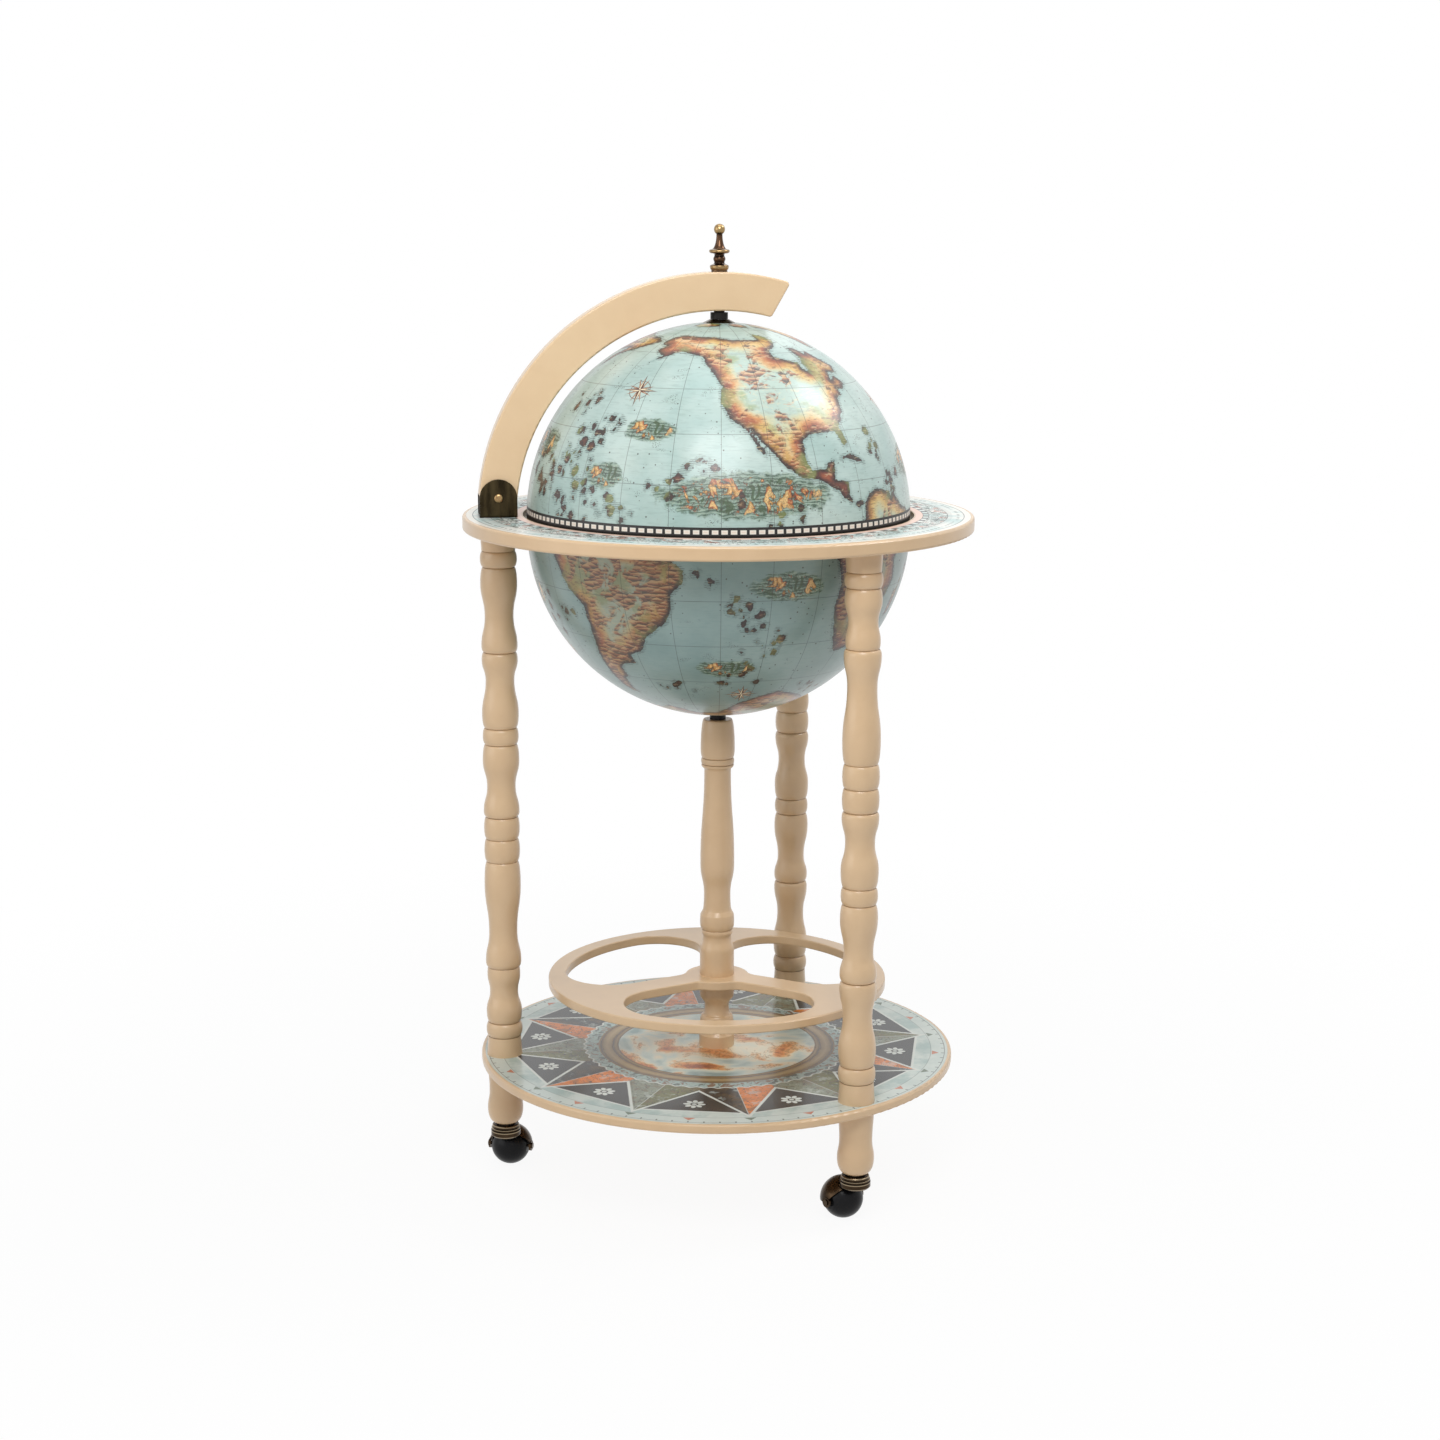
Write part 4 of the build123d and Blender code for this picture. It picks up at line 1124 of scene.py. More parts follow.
class Star:
    """A star of kite-shaped points about the middle of a flat frame."""

    def __init__(self, paint: Paint, x: Wire, y: Wire) -> None:
        """Turns the frame into a radius and a share of a turn.

        Args:
            paint: The paint to add nodes to.
            x: Millimetres to the right.
            y: Millimetres up.
        """
        self.paint = paint
        self.radius = paint.math("SQRT", x * x + y * y)
        self.turn = paint.math("ARCTAN2", x, y) / math.tau

    def sector(self, count: int, shift: float) -> Wire:
        """How far a place is from its sector's middle line, from -0.5 to 0.5 of a sector."""
        return (self.turn * count + 0.5 + shift).fraction() - 0.5

    def edge(self, count: int, shift: float, tip_mm: float, root_mm: float) -> tuple[Wire, Wire]:
        """Measures a ring of points.

        Args:
            count: How many points there are.
            shift: How far they are turned, in sectors.
            tip_mm: Radius of the tips.
            root_mm: Radius where neighbouring points meet.

        Returns:
            The distance inside a point's straight edges, and from its middle line, in millimetres.
        """
        turn = self.sector(count, shift) * (math.tau / count)
        along = self.radius * self.paint.math("COSINE", turn)
        lean = self.radius * self.paint.math("SINE", turn)
        half = math.pi / count
        rise, run = root_mm * math.sin(half), tip_mm - root_mm * math.cos(half)
        slant = math.hypot(rise, run)
        return (tip_mm - along) * (rise / slant) - abs(lean) * (run / slant), lean

    def flat(self, count: int, shift: float, reach_mm: float) -> Wire:
        """How far a place lies inside the straight sides of a polygon about the middle, in millimetres."""
        turn = self.sector(count, shift) * (math.tau / count)
        return reach_mm - self.radius * self.paint.math("COSINE", turn)


@dataclass(frozen=True)
class ShelfPrint:
    """The shelf's varnished print: a pointed star with rosettes round a gilt ring and a cloudy middle."""

    gilt_inner_mm: float = 88.0
    gilt_outer_mm: float = 106.0
    chain_mm: float = 118.0
    root_mm: float = 126.0
    panel_mm: float = 176.0
    rosette_mm: float = 160.0
    star_tip_mm: float = 188.0
    rim_mm: float = 192.0
    points: int = 12
    line_mm: float = 2.1
    petals: int = 8
    petal_mm: float = 9.5
    scallops: int = 60
    scallop_mm: float = 1.2
    ticks: int = 96
    ground: Colour = srgb(164, 186, 182)
    ground_pale: Colour = srgb(208, 218, 212)
    white: Colour = srgb(214, 220, 214)
    charcoal: Colour = srgb(40, 41, 42)
    olive: Colour = srgb(102, 104, 58)
    orange: Colour = srgb(222, 124, 40)
    sage: Colour = srgb(132, 140, 122)
    wear_and_rim_highlight: Colour = srgb(112, 88, 58)
    brown: Colour = srgb(124, 84, 58)
    green_wedge: Colour = srgb(86, 104, 84)
    rust_wedge: Colour = srgb(192, 108, 72)
    gilt: Colour = srgb(148, 122, 82)
    gilt_pale: Colour = srgb(176, 152, 110)
    umber: Colour = srgb(82, 62, 40)
    sky: Stops = (
        (0.34, srgb(140, 164, 164)), (0.46, srgb(196, 208, 200)), (0.53, srgb(224, 216, 192)),
        (0.57, srgb(222, 176, 126)), (0.61, srgb(212, 140, 84)), (0.67, srgb(160, 88, 62)),
        (0.74, srgb(112, 66, 58)))
    roughness: float = 0.2
    specular: float = 0.4
    gloss: float = 0.12
    gloss_roughness: float = 0.07

    def add_panels(self, star: Star, colour: Wire) -> Wire:
        """Lays a dark panel with a flat outer side between every two points.

        Args:
            star: The star's frame.
            colour: The colour so far.

        Returns:
            The colour with the panels on it.
        """
        edge = star.flat(self.points, 0.5, self.panel_mm)
        inside = edge.above(0.0, 0.3) * star.radius.above(self.chain_mm, 0.3)
        colour = star.paint.blend(inside, colour, self.charcoal)
        line = edge.between(-self.line_mm, 0.0, 0.25) * star.radius.above(self.chain_mm, 0.3)
        return star.paint.blend(line, colour, self.white)

    def add_points(self, star: Star, colour: Wire) -> Wire:
        """Lays the points, each half in its own colour, with a white outline and a dark line inside it.

        Args:
            star: The star's frame.
            colour: The colour so far.

        Returns:
            The colour with the points on it.
        """
        paint = star.paint
        edge, lean = star.edge(self.points, 0.0, self.star_tip_mm, self.root_mm)
        right = lean.above(0.0, 0.25)
        first = paint.blend(right, self.orange, self.charcoal)
        second = paint.blend(right, self.olive, self.sage)
        every_other = (star.turn * (self.points / 2) + 0.25).fraction().above(0.5, 0.002)
        wear = paint.noise(paint.place(), 14.0, 5.0, 0.65)
        halves = paint.blend(every_other, first, second)
        halves = paint.blend(wear.above(0.56, 0.06) * 0.6, halves, self.wear_and_rim_highlight)
        scrolls = abs(paint.noise(paint.place(), 9.0, 2.0, 0.5, 1.2) - 0.5).below(0.016, 0.008)
        halves = paint.blend(scrolls * 0.8, halves, self.charcoal)
        halves = paint.blend(wear.below(0.4, 0.05) * 0.4, halves, self.ground_pale)
        colour = paint.blend(edge.above(0.0, 0.3), colour, halves)
        lines = paint.math("MAXIMUM", abs(lean).below(0.35, 0.2) * edge.above(0.0, 0.3) * 0.7,
                           edge.between(-self.line_mm, 0.4, 0.25))
        colour = paint.blend(lines * star.radius.above(self.chain_mm, 0.3), colour, self.white)
        return paint.blend(edge.between(1.6, 2.1, 0.2) * 0.5, colour, self.charcoal)

    def add_rosettes(self, star: Star, colour: Wire) -> Wire:
        """Lays a small round flower between every two points.

        Args:
            star: The star's frame.
            colour: The colour so far.

        Returns:
            The colour with the flowers on it.
        """
        paint = star.paint
        across = star.sector(self.points, 0.5) * star.radius * (math.tau / self.points)
        flower = Star(paint, across, star.radius - self.rosette_mm)
        leaf = abs(paint.math("COSINE", flower.turn * (math.pi * self.petals))) * 0.4 + 0.6
        bloom = flower.radius.below(leaf * self.petal_mm, 0.3)
        colour = paint.blend(bloom, colour, self.white)
        heart = flower.radius.between(self.petal_mm * 0.22, self.petal_mm * 0.36, 0.2)
        veins = abs(flower.sector(self.petals, 0.5)).below(0.08, 0.03) * bloom
        return paint.blend(paint.math("MAXIMUM", heart, veins * 0.8), colour, self.charcoal)

    def add_chain(self, star: Star, colour: Wire) -> Wire:
        """Lays the scalloped white line and the brown marks between the gilt ring and the star.

        Args:
            star: The star's frame.
            colour: The colour so far.

        Returns:
            The colour with the chain on it.
        """
        paint = star.paint
        zone = star.radius.below(self.chain_mm, 0.3)
        colour = paint.blend(zone, colour, self.ground)
        blots = paint.noise(paint.place(), 9.0, 4.0, 0.6, 0.8)
        colour = paint.blend(zone * blots.above(0.56, 0.03) * 0.85, colour, self.brown)
        colour = paint.blend(zone * blots.below(0.43, 0.03) * 0.8, colour, self.charcoal)
        wave = paint.math("SINE", star.turn * (math.tau * self.scallops)) * self.scallop_mm + self.chain_mm
        return paint.blend(abs(star.radius - wave).below(0.8, 0.3), colour, self.white)

    def add_rim(self, star: Star, colour: Wire) -> Wire:
        """Lays the outer scale: circles, ticks and small wedges over the points.

        Args:
            star: The star's frame.
            colour: The colour so far.

        Returns:
            The colour with the scale on it.
        """
        paint = star.paint
        rim = star.radius.above(self.rim_mm, 0.2)
        colour = paint.blend(rim * 0.7, colour, self.ground_pale)
        level = star.radius.between(self.rim_mm + 9, self.rim_mm + 12, 0.2)
        ticks = abs(star.sector(self.ticks, 0.0)).below(0.05, 0.02) * level
        lines = paint.math("MAXIMUM", abs(star.radius - self.rim_mm).below(0.3, 0.2) * 0.6,
                           abs(star.radius - (self.rim_mm + 12.0)).below(0.3, 0.2))
        colour = paint.blend(paint.math("MAXIMUM", ticks, lines) * 0.75, colour, self.charcoal)
        for shift, tint in ((0.0, self.green_wedge), (0.5, self.rust_wedge)):
            edge, _ = star.edge(self.points, shift, self.rim_mm + 7.0, self.rim_mm - 34.0)
            wedge = edge.above(0.0, 0.2) * star.radius.above(self.rim_mm + 1.0, 0.2)
            colour = paint.blend(wedge * 0.9, colour, tint)
        return colour

    def add_middle(self, star: Star, colour: Wire) -> Wire:
        """Lays the gilt ring and the clouds inside it.

        Args:
            star: The star's frame.
            colour: The colour so far.

        Returns:
            The colour with the middle on it.
        """
        paint = star.paint
        point = paint.place()
        band = (star.radius - self.gilt_inner_mm) / (self.gilt_outer_mm - self.gilt_inner_mm)
        gilding = paint.ramp(band + (paint.noise(point, 12.0, 4.0) - 0.5) * 0.12, (
            (0.0, self.umber), (0.12, self.gilt), (0.28, self.umber), (0.36, self.gilt),
            (0.56, self.gilt_pale), (0.76, self.gilt), (0.88, self.umber), (1.0, self.gilt)))
        colour = paint.blend(star.radius.below(self.gilt_outer_mm, 0.4), colour, gilding)
        cloud = paint.noise(point, 50.0, 5.0, 0.5, 0.7)
        sky = paint.ramp(cloud, self.sky)
        edge = paint.noise(point, 7.0, 4.0, 0.6) * cloud.above(0.52, 0.03)
        sky = paint.blend(abs(edge - 0.5).below(0.03, 0.015) * 0.45, sky, self.umber)
        return paint.blend(star.radius.below(self.gilt_inner_mm, 0.4), colour, sky)

    def material(self) -> bpy.types.Material:
        """Makes the print and its varnish.

        Returns:
            The material.
        """
        paint = Paint("shelf_print")
        point = paint.place()
        x, y, _ = paint.split(point)
        star = Star(paint, x, y)
        mottle = paint.noise(point, 30.0, 6.0, 0.65)
        colour = paint.blend(mottle.above(0.5, 0.14), self.ground, self.ground_pale)
        colour = self.add_panels(star, colour)
        for layer in (self.add_rosettes, self.add_points, self.add_chain, self.add_rim, self.add_middle):
            colour = layer(star, colour)
        paint.bump(paint.noise(point, 40.0, 2.0), 0.1, 0.2)
        return paint.set(Base_Color=colour, Roughness=paint.noise(point, 30.0) * 0.08 + self.roughness,
                         Specular_IOR_Level=self.specular, Coat_Weight=self.gloss,
                         Coat_Roughness=self.gloss_roughness)


@dataclass(frozen=True)
class RingPrint:
    """The table ring's varnished print: circles and ticks of a horizon scale over pale aqua."""

    scale_inner_mm: float = 176.0
    scale_outer_mm: float = 181.0
    band_outer_mm: float = 197.0
    rim_mm: float = 211.0
    checks: int = 72
    dots: int = 180
    dot_mm: float = 6.0
    ticks: int = 360
    ground: Colour = srgb(190, 212, 210)
    ground_pale: Colour = srgb(236, 236, 230)
    white: Colour = srgb(238, 236, 228)
    ink: Colour = srgb(26, 22, 22)
    rust: Colour = srgb(196, 104, 66)
    rose: Colour = srgb(234, 202, 188)
    umber: Colour = srgb(70, 42, 34)
    green: Colour = srgb(78, 104, 88)
    roughness: float = 0.36
    specular: float = 0.4
    gloss: float = 0.1
    gloss_roughness: float = 0.2

    def add_band(self, star: Star, colour: Wire) -> Wire:
        """Lays blots of rust, umber and green and dark scrolls in the broad middle band.

        Args:
            star: The star's frame.
            colour: The colour so far.

        Returns:
            The colour with the band on it.
        """
        paint = star.paint
        point = paint.place()
        blot = paint.noise(point, 13.0, 5.0, 0.65, 0.8)
        in_band = star.radius.between(self.scale_outer_mm, self.band_outer_mm, 0.3)
        colour = paint.blend(blot.above(0.59, 0.02) * in_band * 0.9, colour, self.rust)
        colour = paint.blend(blot.above(0.65, 0.02) * in_band, colour, self.umber)
        colour = paint.blend(blot.below(0.41, 0.02) * in_band * 0.85, colour, self.green)
        squiggle = paint.noise(point, 8.0, 4.0, 0.6, 1.5).between(0.47, 0.535, 0.01)
        return paint.blend(squiggle * in_band * 0.9, colour, self.ink)

    def add_scales(self, star: Star, colour: Wire) -> Wire:
        """Lays the checked inner scale, the outer ticks and dots, and the circles between them.

        Args:
            star: The star's frame.
            colour: The colour so far.

        Returns:
            The colour with the scales on it.
        """
        paint = star.paint
        checks = (star.turn * self.checks).fraction().above(0.5, 0.01)
        in_scale = star.radius.between(self.scale_inner_mm, self.scale_outer_mm, 0.15)
        colour = paint.blend(in_scale * checks * 0.85, colour, self.ink)
        ticks = abs(star.sector(self.ticks, 0.0)).below(0.09, 0.05)
        ticks = ticks * star.radius.between(self.band_outer_mm, self.band_outer_mm + 4.0, 0.15)
        off_circle = abs(star.radius - (self.band_outer_mm + 9.0)) / self.dot_mm
        dots = (abs(star.sector(self.dots, 0.0)) + off_circle).below(0.3, 0.06)
        gaps = paint.noise(paint.place(), 8.0).above(0.47, 0.02)
        colour = paint.blend(paint.math("MAXIMUM", ticks, dots * gaps) * 0.7, colour, self.ink)
        for line_mm in (self.scale_inner_mm, self.scale_outer_mm, self.band_outer_mm, self.rim_mm):
            colour = paint.blend(abs(star.radius - line_mm).below(0.3, 0.15) * 0.85, colour, self.ink)
        return colour

    def material(self) -> bpy.types.Material:
        """Makes the print and its varnish.

        Returns:
            The material.
        """
        paint = Paint("ring_print")
        point = paint.place()
        x, y, _ = paint.split(point)
        star = Star(paint, x, y)
        mottle = paint.noise(point, 26.0, 5.0, 0.6)
        colour = paint.blend(mottle.above(0.5, 0.15), self.ground, self.ground_pale)
        colour = paint.blend(star.radius.below(self.scale_inner_mm, 0.3), colour, self.rose)
        colour = self.add_scales(star, self.add_band(star, colour))
        colour = paint.blend(star.radius.above(self.rim_mm + 0.6, 0.3), colour, self.white)
        return paint.set(Base_Color=colour, Roughness=paint.noise(point, 30.0) * 0.08 + self.roughness,
                         Specular_IOR_Level=self.specular, Coat_Weight=self.gloss,
                         Coat_Roughness=self.gloss_roughness)


@dataclass(frozen=True)
class Lining:
    """Plain parchment paper inside the two halves."""

    pale: Colour = srgb(206, 178, 132)
    dark: Colour = srgb(170, 136, 92)
    mottle_mm: float = 30.0
    fibre_mm: float = 1.2
    relief_mm: float = 0.05
    roughness: float = 0.5

    def material(self) -> bpy.types.Material:
        """Makes the paper, mottled and faintly fibrous.

        Returns:
            The material.
        """
        paint = Paint("parchment_lining")
        point = paint.place()
        mottle = paint.noise(point, self.mottle_mm, 6.0, 0.6)
        fibre = paint.noise(point, self.fibre_mm, 3.0, 0.6, 1.0)
        paint.bump(fibre, self.relief_mm, 0.4)
        colour = paint.blend(mottle, self.dark, self.pale)
        colour = paint.blend(fibre.above(0.6, 0.1) * 0.3, colour, self.dark)
        return paint.set(Base_Color=colour, Roughness=mottle * 0.15 + self.roughness)


class Finishes:
    """Every finish that the pieces share, made once."""

    def __init__(self) -> None:
        """Makes them all. A metal takes its bright colour, its dark one and the size of its patina."""
        self.cream = CreamPaint().material()
        self.shelf = ShelfPrint().material()
        self.ring = RingPrint().material()
        self.lining = Lining().material()
        self.beech = PlainWood().material()
        self.bronze = Metal("antique_bronze", srgb(84, 70, 56), srgb(22, 18, 15), 16.0, 0.25).material()
        self.caster_bronze = CasterBronze("caster_bronze", srgb(72, 57, 42), srgb(18, 14, 12), 12.0, 0.25,
                                          contrast=0.5).material()
        # The bracket's patina is drawn out upright: painted highlight lines over its patina.
        self.dark_bronze = Metal("dark_bronze", srgb(74, 64, 44), srgb(20, 16, 12), 7.0, 0.2,
                                 streak=5.0, contrast=0.8).material()
        self.brass = Metal("antique_brass", srgb(168, 138, 98), srgb(44, 32, 24), 12.0, 0.22, 4.0).material()
        self.zinc = Metal("zinc_plate", srgb(190, 192, 194), srgb(140, 142, 146)).material()
        self.black = Plastic("black_plastic", srgb(24, 22, 21), 0.32).material()
        self.ball = Plastic("black_ball", srgb(12, 12, 15), 0.24, 0.8, 0.01).material()


# -------------------- mesh building
def keep(name: str, mesh: bpy.types.Mesh) -> bpy.types.Object:
    """Puts a mesh in the scene as an object of that name.

    Args:
        name: The object's name.
        mesh: The mesh.

    Returns:
        The object.
    """
    made = bpy.data.objects.new(name, mesh)
    bpy.context.scene.collection.objects.link(made)
    return made


def dress(finish: bpy.types.Material, *nodes: str) -> None:
    """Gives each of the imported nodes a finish.

    Args:
        finish: The finish.
        *nodes: The nodes' names.
    """
    for name in nodes:
        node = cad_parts[name]
        if node.material_slots:
            for slot in node.material_slots:
                slot.material = finish
        else:
            node.data.materials.append(finish)
        log.info("%s is finished in %s", name, finish.name)


def lathe(name: str, outline_mm: np.ndarray, columns: int, outer: np.ndarray) -> bpy.types.Object:
    """Turns a closed outline round the globe's axis.

    Args:
        name: The object's name.
        outline_mm: Radius and height of each corner, counterclockwise with the axis on the left.
        columns: How many steps the turn has.
        outer: Which of the outline's edges take the first finish; the rest take the second.

    Returns:
        The object, smooth but for its sharp corners.
    """
    rows = len(outline_mm)
    turns = np.arange(columns) * math.tau / columns
    radius, height = outline_mm[:, :1] * MM, outline_mm[:, 1:] * MM
    points = np.stack([radius * np.cos(turns), radius * np.sin(turns), height + 0 * turns], axis=2)
    row, column = np.meshgrid(np.arange(rows), np.arange(columns), indexing="ij")
    below, beside = (row + 1) % rows, (column + 1) % columns
    quads = np.stack([row * columns + column, row * columns + beside,
                      below * columns + beside, below * columns + column], axis=2)
    mesh = bpy.data.meshes.new(name)
    mesh.from_pydata(points.reshape(-1, 3).tolist(), [], quads.reshape(-1, 4).tolist())
    mesh.polygons.foreach_set("material_index", np.repeat(np.where(outer, 0, 1), columns).astype(np.int32))
    mesh.shade_smooth()
    mesh.set_sharp_from_angle(angle=SHARP_ANGLE)
    mesh.update()
    return keep(name, mesh)


class Pattern:
    """A Geometry Nodes tree with named sizes, laid over a few points and turned into a plain mesh."""

    def __init__(self, name: str, sizes: dict[str, float]) -> None:
        """Starts the tree with its named inputs, in millimetres where they are lengths.

        Args:
            name: The tree's name.
            sizes: The inputs and their values.
        """
        self.tree = bpy.data.node_groups.new(name, "GeometryNodeTree")
        sockets = self.tree.interface
        sockets.new_socket("Points", in_out="INPUT", socket_type="NodeSocketGeometry")
        self.sizes = {}
        for label, value in sizes.items():
            socket = sockets.new_socket(label, in_out="INPUT", socket_type="NodeSocketFloat")
            self.sizes[socket.identifier] = value
        finish = sockets.new_socket("Finish", in_out="INPUT", socket_type="NodeSocketMaterial")
        self.finish = finish.identifier
        sockets.new_socket("Result", in_out="OUTPUT", socket_type="NodeSocketGeometry")
        self.inputs = self.tree.nodes.new("NodeGroupInput")
        self.outputs = self.tree.nodes.new("NodeGroupOutput")

    def size(self, label: str) -> bpy.types.NodeSocket:
        """One of the named inputs."""
        return self.inputs.outputs[label]

    def feed(self, socket: bpy.types.NodeSocket, value: object) -> None:
        """Gives a socket another socket's value or a plain one.

        Args:
            socket: The socket.
            value: Another socket, or a plain value.
        """
        if isinstance(value, bpy.types.NodeSocket):
            self.tree.links.new(value, socket)
        else:
            socket.default_value = value

    def node(self, kind: str, settings: dict[str, object] | None = None, **feeds: object) -> bpy.types.Node:
        """Adds a node.

        Args:
            kind: The node's type.
            settings: Its own properties.
            **feeds: Its inputs by name, with an underscore for each blank: a socket or a plain value.

        Returns:
            The node.
        """
        made = self.tree.nodes.new(kind)
        for name, value in (settings or {}).items():
            setattr(made, name, value)
        for name, value in feeds.items():
            self.feed(made.inputs[name.replace("_", " ")], value)
        return made

    def sum(self, operation: str, first: object, second: object) -> bpy.types.NodeSocket:
        """A math node on two sockets or numbers.

        Args:
            operation: Blender's name of the sum.
            first: The first number.
            second: The second number.

        Returns:
            The result.
        """
        made = self.node("ShaderNodeMath", {"operation": operation})
        for socket, value in zip(made.inputs, (first, second)):
            self.feed(socket, value)
        return made.outputs[0]

    def at(self, height: object) -> bpy.types.NodeSocket:
        """A vector of this height along Z."""
        return self.node("ShaderNodeCombineXYZ", Z=height).outputs[0]

    def end(self, instance: bpy.types.NodeSocket) -> None:
        """Sets the instance on every point, in metres, makes it real and gives it its finish.

        Args:
            instance: The geometry to set on the points.
        """
        placed = self.node("GeometryNodeInstanceOnPoints", Points=self.size("Points"), Instance=instance)
        small = self.node("GeometryNodeTransform", Geometry=placed.outputs[0], Scale=(MM, MM, MM))
        real = self.node("GeometryNodeRealizeInstances", Geometry=small.outputs[0])
        done = self.node("GeometryNodeSetMaterial", Geometry=real.outputs[0], Material=self.size("Finish"))
        self.tree.links.new(done.outputs[0], self.outputs.inputs[0])

    def lay(self, name: str, points_mm: Sequence[tuple[float, float, float]],
            finish: bpy.types.Material) -> bpy.types.Object:
        """Lays the pattern over points and makes it a plain mesh.

        Args:
            name: The piece's name.
            points_mm: Where the pattern's instances go.
            finish: What they are made of.

        Returns:
            The piece.
        """
        seed = bpy.data.meshes.new(name + "_points")
        seed.from_pydata(points_mm, [], [])
        carrier = keep(name + "_points", seed)
        modifier = carrier.modifiers.new("pattern", "NODES")
        modifier.node_group = self.tree
        for identifier, value in self.sizes.items():
            modifier[identifier] = float(value)
        modifier[self.finish] = finish
        ready = carrier.evaluated_get(bpy.context.evaluated_depsgraph_get())
        mesh = bpy.data.meshes.new_from_object(ready)
        bpy.data.objects.remove(carrier)
        bpy.data.meshes.remove(seed)
        mesh.name = name
        mesh.shade_smooth()
        mesh.set_sharp_from_angle(angle=SHARP_ANGLE)
        return keep(name, mesh)


@dataclass(frozen=True)
class CrossScrew:
    """A screw with a cross recess in its head, whose top is at its point. Its sizes are in millimetres."""

    head_radius: float
    neck_radius: float
    head_height: float
    length: float
    shank_radius: float = 1.5
    recess_width: float = 0.75
    recess_reach: float = 3.4
    recess_depth: float = 0.9

    def pattern(self, name: str) -> Pattern:
        """Builds the tree that makes the screw on every point.

        Args:
            name: The tree's name.

        Returns:
            The tree.
        """
        laid = Pattern(name, {"Head Radius": self.head_radius, "Neck Radius": self.neck_radius,
                              "Head Height": self.head_height, "Length": self.length,
                              "Shank Radius": self.shank_radius, "Recess Width": self.recess_width,
                              "Recess Reach": self.recess_reach, "Recess Depth": self.recess_depth})
        height = laid.size("Head Height")
        head = laid.node("GeometryNodeMeshCone", Vertices=32, Radius_Top=laid.size("Head Radius"),
                         Radius_Bottom=laid.size("Neck Radius"), Depth=height)
        head = laid.node("GeometryNodeTransform", Geometry=head.outputs[0],
                         Translation=laid.at(laid.sum("MULTIPLY", height, -1.0)))
        cut = laid.node("GeometryNodeMeshBoolean", {"operation": "DIFFERENCE"})
        laid.feed(cut.inputs["Mesh 1"], head.outputs[0])
        width, reach = laid.size("Recess Width"), laid.size("Recess Reach")
        # Each bar is centred on the head's top, so only its lower half cuts. The second is less deep, so
        # that the two floors don't coincide.
        for across, along, depths in ((width, reach, 2.0), (reach, width, 1.8)):
            deep = laid.sum("MULTIPLY", laid.size("Recess Depth"), depths)
            size = laid.node("ShaderNodeCombineXYZ", X=across, Y=along, Z=deep)
            bar = laid.node("GeometryNodeMeshCube", Size=size.outputs[0])
            laid.feed(cut.inputs["Mesh 2"], bar.outputs[0])
        shank = laid.node("GeometryNodeMeshCylinder", Vertices=24, Radius=laid.size("Shank Radius"),
                          Depth=laid.sum("SUBTRACT", laid.size("Length"), height))
        drop = laid.sum("MULTIPLY", laid.sum("ADD", laid.size("Length"), height), -0.5)
        shank = laid.node("GeometryNodeTransform", Geometry=shank.outputs[0], Translation=laid.at(drop))
        both = laid.node("GeometryNodeJoinGeometry")
        laid.feed(both.inputs[0], cut.outputs[0])
        laid.feed(both.inputs[0], shank.outputs[0])
        laid.end(both.outputs[0])
        return laid


@dataclass(frozen=True)
class ThreadedEnd:
    """A screw thread's ridge round a plain rod, up from its point. Its sizes are in millimetres."""

    radius: float
    length: float
    pitch: float = 0.8
    ridge: float = 0.22

    def pattern(self, name: str) -> Pattern:
        """Builds the tree that winds the ridge.

        Args:
            name: The tree's name.

        Returns:
            The tree.
        """
        laid = Pattern(name, {"Radius": self.radius, "Length": self.length, "Pitch": self.pitch,
                              "Ridge": self.ridge})
        length, radius = laid.size("Length"), laid.size("Radius")
        turns = laid.sum("DIVIDE", length, laid.size("Pitch"))
        helix = laid.node("GeometryNodeCurveSpiral", Resolution=36, Rotations=turns, Height=length,
                          Start_Radius=radius, End_Radius=radius)
        edge = laid.node("GeometryNodeCurvePrimitiveCircle", Resolution=4, Radius=laid.size("Ridge"))
        ridge = laid.node("GeometryNodeCurveToMesh", Curve=helix.outputs[0], Profile_Curve=edge.outputs[0],
                          Fill_Caps=True)
        laid.end(ridge.outputs[0])
        return laid


# -------------------- the globe
class Facing(Enum):
    """Which way the pole of a half of the globe points."""

    UP = 1
    DOWN = -1


